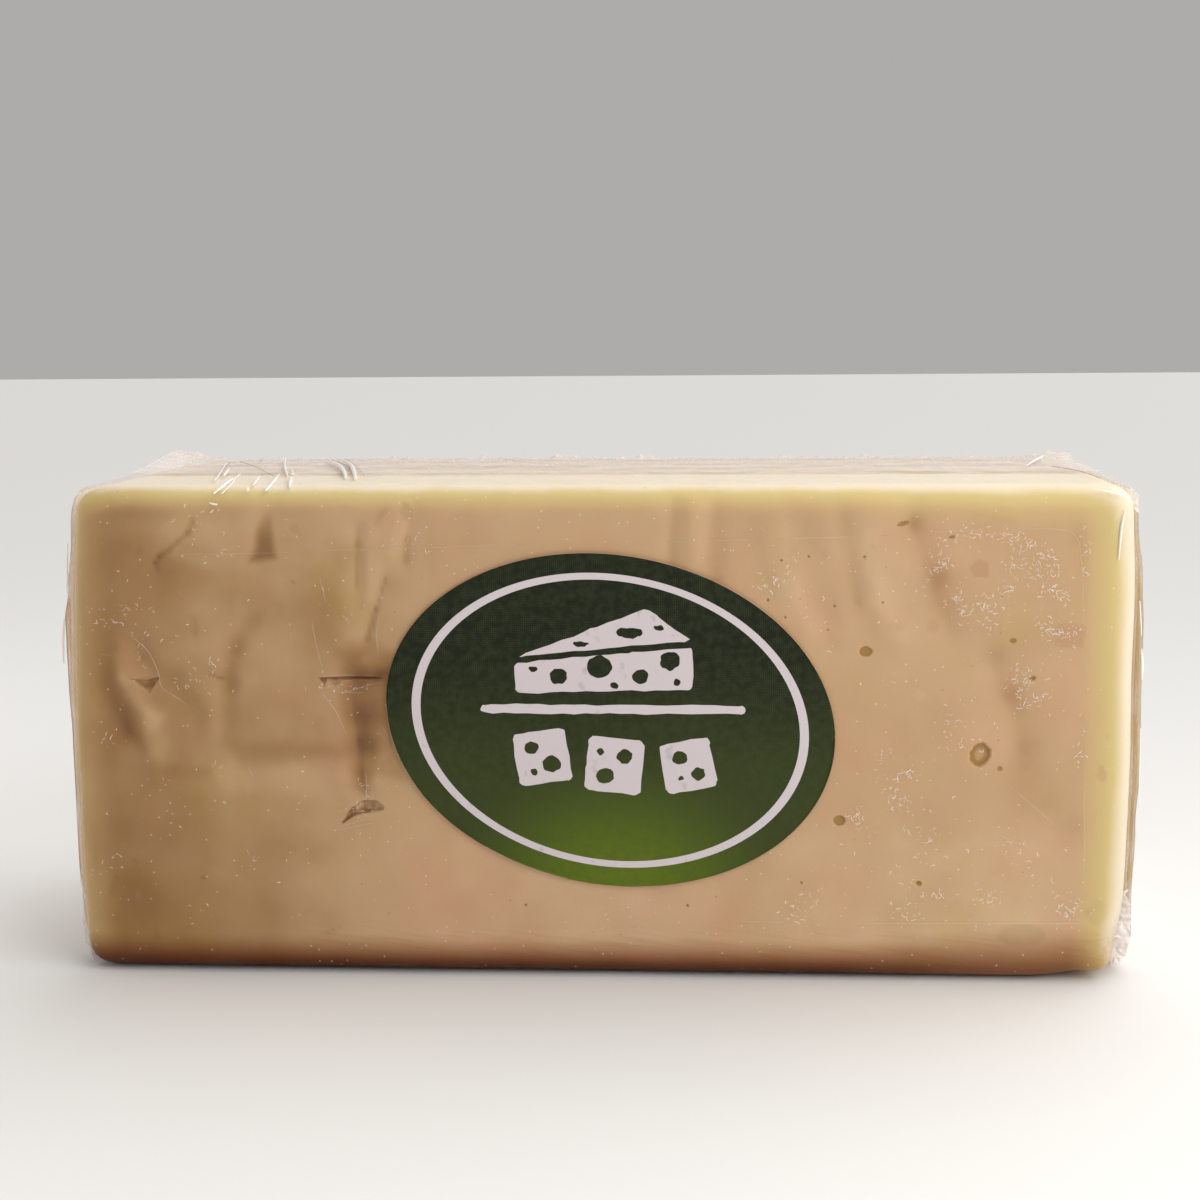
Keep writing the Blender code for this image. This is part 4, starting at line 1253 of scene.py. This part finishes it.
cheeseLook = {
    "tan": (0.650, 0.438, 0.250),
    # dark, deep and light: painted shade and light, with random tone; dark also draws the film's streaks at
    # the foot
    "dark": (0.430, 0.240, 0.095),
    "deep": (0.200, 0.085, 0.035),
    "light": (0.740, 0.540, 0.335),
    # olive, yellow and cream: painted light of the edges, top and ends
    "olive": (0.705, 0.520, 0.250),
    "yellow": (0.710, 0.570, 0.260),
    "cream": (0.845, 0.740, 0.575),
    "moist": (0.560, 0.320, 0.180),
    "pale": (0.780, 0.530, 0.370),
    "rosy": (1.025, 0.945, 0.975),
    "khaki": (0.970, 1.000, 0.830),
    "damp": (0.500, 0.340, 0.160),
    # painted shade over the left of the front and towards the foot
    "dim": (0.840, 0.780, 0.690),
    "foot": (0.950, 0.550, 0.270),
    "under": (0.085, 0.016, 0.001),
    # painted shade inside the eyes and openings; opening also colours the grit
    "eye": (0.430, 0.240, 0.060),
    "opening": (0.300, 0.130, 0.035),
    "dust": (0.930, 0.840, 0.700),
}
# Its colours, laid over the tan one after another: the mask each follows, the values of it
# between which the colour comes in, the greatest share, the colour and how it is laid on.
cheeseLayers = [
    # painted shade and light of folds, creases, the channel and the left side, with random tone
    ("shade", -0.05, 1.10, 1.00, "dark", "MIX"),
    ("shade", 0.80, 2.00, 1.00, "deep", "MIX"),
    ("shade", 0.05, -0.65, 1.00, "light", "MIX"),
    ("hue", 0.00, 0.70, 1.00, "rosy", "MULTIPLY"),
    ("hue", 0.00, -0.70, 1.00, "khaki", "MULTIPLY"),
    # painted light of the edges, top and ends
    ("glow", 0.02, 0.34, 0.85, "olive", "MIX"),
    ("glow", 0.26, 0.58, 1.00, "yellow", "MIX"),
    ("glow", 0.60, 0.98, 1.00, "cream", "MIX"),
    ("moist", 0.00, 1.00, 1.00, "moist", "MIX"),
    ("moist", 0.00, -1.00, 1.00, "pale", "MIX"),
    ("khaki", None, None, None, "damp", "MIX"),
    # painted shade over the left of the front
    ("dim", None, None, None, "dim", "MULTIPLY"),
    ("streaks", None, None, None, "dark", "MIX"),
    # painted shade towards the foot
    ("under", None, None, None, "foot", "MULTIPLY"),
    ("under", None, None, None, "under", "MIX"),
    # painted shade inside the eyes and openings
    ("eye", 0.10, 0.90, 0.90, "eye", "MIX"),
    ("opening", 0.10, 0.90, 0.90, "opening", "MIX"),
    ("grit", None, None, None, "opening", "MIX"),
    ("dust", None, None, None, "dust", "MIX"),
]
cheeseSurface = {
    "mottle": (230.0, 6.0, 0.36),  # scale, detail, amount
    "roughness": (0.40, 0.52),
    "roughScale": 180.0,
    "grainScale": 900.0,
    "grain": {"Strength": 0.10, "Distance": 0.0002},
    "gloss": 0.10,
    "depth": {  # how far light goes into it
        "Subsurface Weight": 0.40, "Subsurface Radius": (1.0, 0.60, 0.25), "Subsurface Scale": 0.0030,
    },
}
cheeseSpecks = {  # size of a cell, radius, share of the cells, strength
    "grit": (420.0, 0.070, 0.10, 0.50),
    "dust": (620.0, 0.110, 0.35, 0.45),
}
# Fine drawn lines of the film along the foot of the front, nearly level.
footStreaks = {"scale": 1500.0, "lean": 7.0, "length": 18.0, "amount": 0.18}


def drawnStreaks(tree):
    turned = {
        "Vector": objectPlace(tree),
        "Rotation": (0.0, math.radians(footStreaks["lean"]), 0.0),
        "Scale": (footStreaks["length"], 1.0, 1.0),
    }
    place = addNode(tree, "ShaderNodeMapping", turned, vector_type="TEXTURE").outputs[0]
    lines = ranged(tree, noiseOf(tree, footStreaks["scale"], vector=place), 0.48, 0.66)
    height = axisOf(tree, "Z")
    band = times(tree, ranged(tree, height, 0.001, 0.004), ranged(tree, height, 0.011, 0.006))
    return times(tree, times(tree, lines, band), footStreaks["amount"])


def makeCheeseMaterial():
    material, tree, output = newMaterial("firm cheese")
    fields = ("tone", "hue", "glow", "moist", "khaki", "dim", "under", "eye", "opening")
    masks = {name: attribute(tree, name) for name in fields}
    scale, detail, amount = cheeseSurface["mottle"]
    mottle = maths(tree, "MULTIPLY_ADD", noiseOf(tree, scale, detail), amount, -amount / 2)
    masks["shade"] = maths(tree, "ADD", masks["tone"], mottle)
    masks["streaks"] = drawnStreaks(tree)
    for name, (scale, radius, share, strength) in cheeseSpecks.items():
        mask = placedGroup(tree, specks, {"Scale": scale, "Radius": radius, "Share": share})
        masks[name] = times(tree, mask, strength)
    colour = cheeseLook["tan"]
    for mask, low, high, most, name, blend in cheeseLayers:
        share = masks[mask] if low is None else ranged(tree, masks[mask], low, high, 0.0, most)
        colour = mixColour(tree, share, colour, cheeseLook[name], blend)
    uneven = noiseOf(tree, cheeseSurface["roughScale"])
    rough = ranged(tree, uneven, 0.3, 0.7, *cheeseSurface["roughness"])
    grain = {"Height": noiseOf(tree, cheeseSurface["grainScale"], 3.0), **cheeseSurface["grain"]}
    bump = addNode(tree, "ShaderNodeBump", grain)
    addSurface(tree, output, {
        "Base Color": colour,
        "Roughness": rough,
        "Normal": bump.outputs["Normal"],
        "Specular IOR Level": cheeseSurface["gloss"],
        **cheeseSurface["depth"],
    })
    return material


# The films: how much haze each has, its marks, its tints, and how much it shines and mirrors.
filmLooks = {
    "clear film": {"haze": 0.012, "mirror": 0.15, "gathered": True},
    "sealed left film": {
        "haze": 0.80, "streaky": True, "tint": (0.95, 0.82, 0.77), "mirror": 0.08,
        "streakTint": (0.80, 0.68, 0.62),
    },
    "sealed right film": {"haze": 0.85, "streaky": True, "tint": (1.0, 0.92, 0.88), "mirror": 0.08},
    "sealed top film": {
        "haze": 0.24, "knurled": True, "tint": (1.0, 0.91, 0.85), "shine": 0.05, "mirror": 0.02,
    },
    # painted highlights along the creases
    "crease highlight film": {"haze": 1.50, "tint": (1.0, 0.99, 0.97), "mirror": 0.1},
    "crumpled film": {"haze": 0.70, "tint": (1.0, 0.93, 0.88), "mirror": 0.12},
    # painted shade along the folds
    "crease shade film": {"haze": 0.60, "tint": (0.45, 0.33, 0.24)},
    "bright scratches": {"haze": 1.2, "tint": (1.0, 0.98, 0.95), "mirror": 0.1},
    "scratched film": {"haze": 0.27, "tint": (1.0, 0.96, 0.90)},
}
filmMarks = {
    "streaks": (2300.0, 3.0, (1.0, 0.5, 0.045)),  # scale, detail, stretch
    "streakTint": 0.60,
    "clearing": (0.15, 0.60, 0.09, 1.0),  # clearer where one looks straight at it
    "grains": (2100.0, 2.0, (0.8, 0.35, 1.0)),
    "grainHaze": 0.22,
    "grainTint": 0.45,
    "grainBand": (0.004, 0.012),  # the grains begin so far behind the middle
    "drawn": (700.0, 3.0, (0.03, 1.0, 0.4)),
    "relief": {"Strength": 0.35, "Distance": 0.0003},
}


# A film is see-through but for its gloss, its haze and what marks it.
def makeFilmMaterial(
    name, haze, streaky=False, knurled=False, gathered=False, tint=(0.95, 0.90, 0.86),
    streakTint=(0.90, 0.79, 0.72), dentTint=(0.84, 0.72, 0.63), shine=0.3, mirror=0.5,
):
    material, tree, output = newMaterial(name)
    shown = ranged(tree, axisOf(tree, "Z"), 0.0, 0.012, 0.0, shine)  # it takes little light at its foot
    gloss = times(tree, addNode(tree, "ShaderNodeFresnel", {"IOR": 1.38}).outputs[0], shown)
    veil = ranged(tree, noiseOf(tree, 160.0, 3.0), 0.3, 0.75, haze * 0.6, haze * 1.4)
    height = noiseOf(tree, 300.0, 3.0)
    colour = (*tint, 1.0)
    if streaky:
        streaks = stretchedNoise(tree, *filmMarks["streaks"])
        edgeOn = addNode(tree, "ShaderNodeLayerWeight", {"Blend": 0.5}).outputs["Facing"]
        thick = ranged(tree, edgeOn, *filmMarks["clearing"])
        veil = times(tree, veil, ranged(tree, streaks, 0.36, 0.66, 0.55, 1.4))
        veil = times(tree, veil, thick)
        height = streaks
        drawn = times(tree, ranged(tree, streaks, 0.50, 0.38, 0.0, filmMarks["streakTint"]), thick)
        colour = mixColour(tree, drawn, tint, streakTint)
    if knurled:
        band = ranged(tree, axisOf(tree, "Y"), *filmMarks["grainBand"])
        grains = stretchedNoise(tree, *filmMarks["grains"])
        dents = times(tree, ranged(tree, grains, 0.56, 0.66), band)
        glints = times(tree, ranged(tree, grains, 0.42, 0.34), band)
        marked = times(tree, maths(tree, "ADD", dents, glints), filmMarks["grainHaze"])
        drawn = stretchedNoise(tree, *filmMarks["drawn"])
        veil = times(tree, maths(tree, "ADD", veil, marked), ranged(tree, drawn, 0.35, 0.65, 0.6, 1.5))
        height = maths(tree, "MULTIPLY_ADD", grains, band, maths(tree, "ADD", height, drawn))
        colour = mixColour(tree, times(tree, dents, filmMarks["grainTint"]), tint, dentTint)
    if gathered:
        veil = maths(tree, "ADD", veil, attribute(tree, "haze"))
    cover = clamped(tree, maths(tree, "ADD", gloss, veil))
    bump = addNode(tree, "ShaderNodeBump", {"Height": height, **filmMarks["relief"]})
    shader = addNode(tree, "ShaderNodeBsdfPrincipled", {
        "Base Color": colour,
        "Roughness": 0.18,
        "Normal": bump.outputs["Normal"],
        "IOR": 1.45,
        "Specular IOR Level": mirror,
    })
    clear = addNode(tree, "ShaderNodeBsdfTransparent")
    mixed = addNode(tree, "ShaderNodeMixShader", {0: cover, 1: clear.outputs[0], 2: shader.outputs[0]})
    tree.links.new(mixed.outputs[0], output.inputs["Surface"])
    return material


stickerLook = {
    "deep": (0.010, 0.013, 0.006),
    "green": (0.042, 0.057, 0.012),
    "lime": (0.125, 0.185, 0.008),
    "thread": (0.060, 0.080, 0.036),
    "paper": (0.86, 0.60, 0.42),
    "pale": (0.70, 0.620, 0.645),
    "worn": (0.46, 0.42, 0.40),
}
stickerPattern = {  # in metres
    "weave": 0.00068,
    "limeAt": (0.0045, 0.0145),
    "limeTall": 1.25,
    "limeReach": (0.033, 0.004),
    "deepFrom": (0.036, 0.066),
    "relief": {"Strength": 0.20, "Distance": 0.00005},
}


def makeStickerMaterials():
    look = stickerLook
    made = []
    for name in ("printed green paper", "pale print"):
        material, tree, output = newMaterial(name)
        threads = placedGroup(tree, weave, {"Pitch": stickerPattern["weave"]})
        if name == "pale print":
            thin = ranged(tree, noiseOf(tree, 420.0, 4.0), 0.60, 0.74)
            colour = mixColour(tree, times(tree, thin, 0.6), look["pale"], look["worn"])
            colour = mixColour(tree, times(tree, threads, 0.10), colour, look["worn"])
        else:
            side, level = axisOf(tree, "X"), axisOf(tree, "Z")
            dx, dz = (
                maths(tree, "SUBTRACT", way, middle)
                for way, middle in zip((side, level), stickerPattern["limeAt"])
            )
            dz = times(tree, dz, stickerPattern["limeTall"])
            far = maths(tree, "SQRT", maths(tree, "ADD", times(tree, dx, dx), times(tree, dz, dz)))
            cloud = maths(tree, "MULTIPLY_ADD", noiseOf(tree, 45.0, 2.0), 0.012, level)
            high = ranged(tree, cloud, *stickerPattern["deepFrom"])
            colour = mixColour(tree, high, look["green"], look["deep"])
            lit = ranged(tree, far, *stickerPattern["limeReach"])
            colour = mixColour(tree, lit, colour, look["lime"])
            blotch = ranged(tree, noiseOf(tree, 700.0, 2.0), 0.3, 0.7, 0.15, 0.60)
            colour = mixColour(tree, times(tree, threads, blotch), colour, look["thread"])
            normal = addNode(tree, "ShaderNodeNewGeometry").outputs["Normal"]
            outward = addNode(tree, "ShaderNodeSeparateXYZ", {"Vector": normal}).outputs["Y"]
            colour = mixColour(tree, ranged(tree, outward, -0.75, -0.45), colour, look["paper"])
        bump = addNode(tree, "ShaderNodeBump", {"Height": threads, **stickerPattern["relief"]})
        addSurface(tree, output, {
            "Base Color": colour,
            "Roughness": ranged(tree, threads, 0.0, 1.0, 0.50, 0.64),
            "Normal": bump.outputs["Normal"],
            "Specular IOR Level": 0.12,
        })
        made.append(material)
    return made


cheesePiece.data.materials.append(makeCheeseMaterial())
filmPieces = {
    "clear film": filmPiece,
    "sealed left film": leftRimPiece,
    "sealed right film": rightRimPiece,
    "sealed top film": topRimPiece,
    "crease highlight film": creaseHighlightPiece,
    "crumpled film": crumplePiece,
    "crease shade film": creaseShadePiece,
    "bright scratches": scratchPiece,
    "scratched film": finePiece,
}
for name, piece in filmPieces.items():
    piece.data.materials.append(makeFilmMaterial(name, **filmLooks[name]))
greenPaper, palePrint = makeStickerMaterials()
stickerPiece.data.materials.append(greenPaper)
holesPiece.data.materials.append(greenPaper)
ringPiece.data.materials.append(palePrint)
picturePiece.data.materials.append(palePrint)
print("materials made")


studio = {
    "floor": (0.80, 0.79, 0.77),
    "world": (1.0, 0.98, 0.95),
    "worldStrength": 0.42,
    "sunFrom": (0.45, 0.38, 0.85),
    "sunSpread": 70.0,
    "sunStrength": 1.84,
    # name: place, aim, width, height, power
    "softboxes": {
        "left": ((-0.42, 0.02, 0.16), (-0.09, 0.0, 0.045), 0.25, 0.25, 0.29),
        "right": ((0.30, -0.27, 0.30), (0.06, 0.0, 0.05), 0.34, 0.34, 1.08),
    },
}


def addLight(name, kind, place, aim):
    data = bpy.data.lights.new(name, kind)
    light = addObject(name, data)
    light.location = place
    light.rotation_euler = (Vector(aim) - Vector(place)).to_track_quat("-Z", "Y").to_euler()
    return data


def makeStudio():
    bm = bmesh.new()
    addGrid(bm, (1, 1), size=4.0)
    mesh = bpy.data.meshes.new("floor")
    bm.to_mesh(mesh)
    bm.free()
    floor = addObject("floor", mesh)
    material, tree, output = newMaterial("pale floor")
    addSurface(tree, output, {"Base Color": (*studio["floor"], 1.0), "Roughness": 0.7})
    mesh.materials.append(material)

    world = bpy.data.worlds.new("studio")
    world.use_nodes = True
    background = world.node_tree.nodes["Background"]
    background.inputs["Color"].default_value = (*studio["world"], 1.0)
    background.inputs["Strength"].default_value = studio["worldStrength"]
    bpy.context.scene.world = world

    sun = addLight("sun", "SUN", studio["sunFrom"], (0, 0, 0))
    sun.angle, sun.energy = math.radians(studio["sunSpread"]), studio["sunStrength"]
    for name, (place, aim, width, height, power) in studio["softboxes"].items():
        box = addLight(name, "AREA", place, aim)
        box.shape = "RECTANGLE"
        box.size, box.size_y, box.energy = width, height, power
    bpy.context.scene.view_settings.view_transform = "Standard"


makeStudio()
print("studio made")


# Each piece hangs under the root, and the imported part it stands for is hidden.
for pieces, node, slot in (
    ([cheesePiece], "cheese_pack", "cheese"),
    (filmPieces.values(), "cheese_pack", "film"),
    ([stickerPiece, ringPiece, picturePiece, holesPiece], "label", "label"),
):
    for piece in pieces:
        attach(piece, "root")
        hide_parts(node)
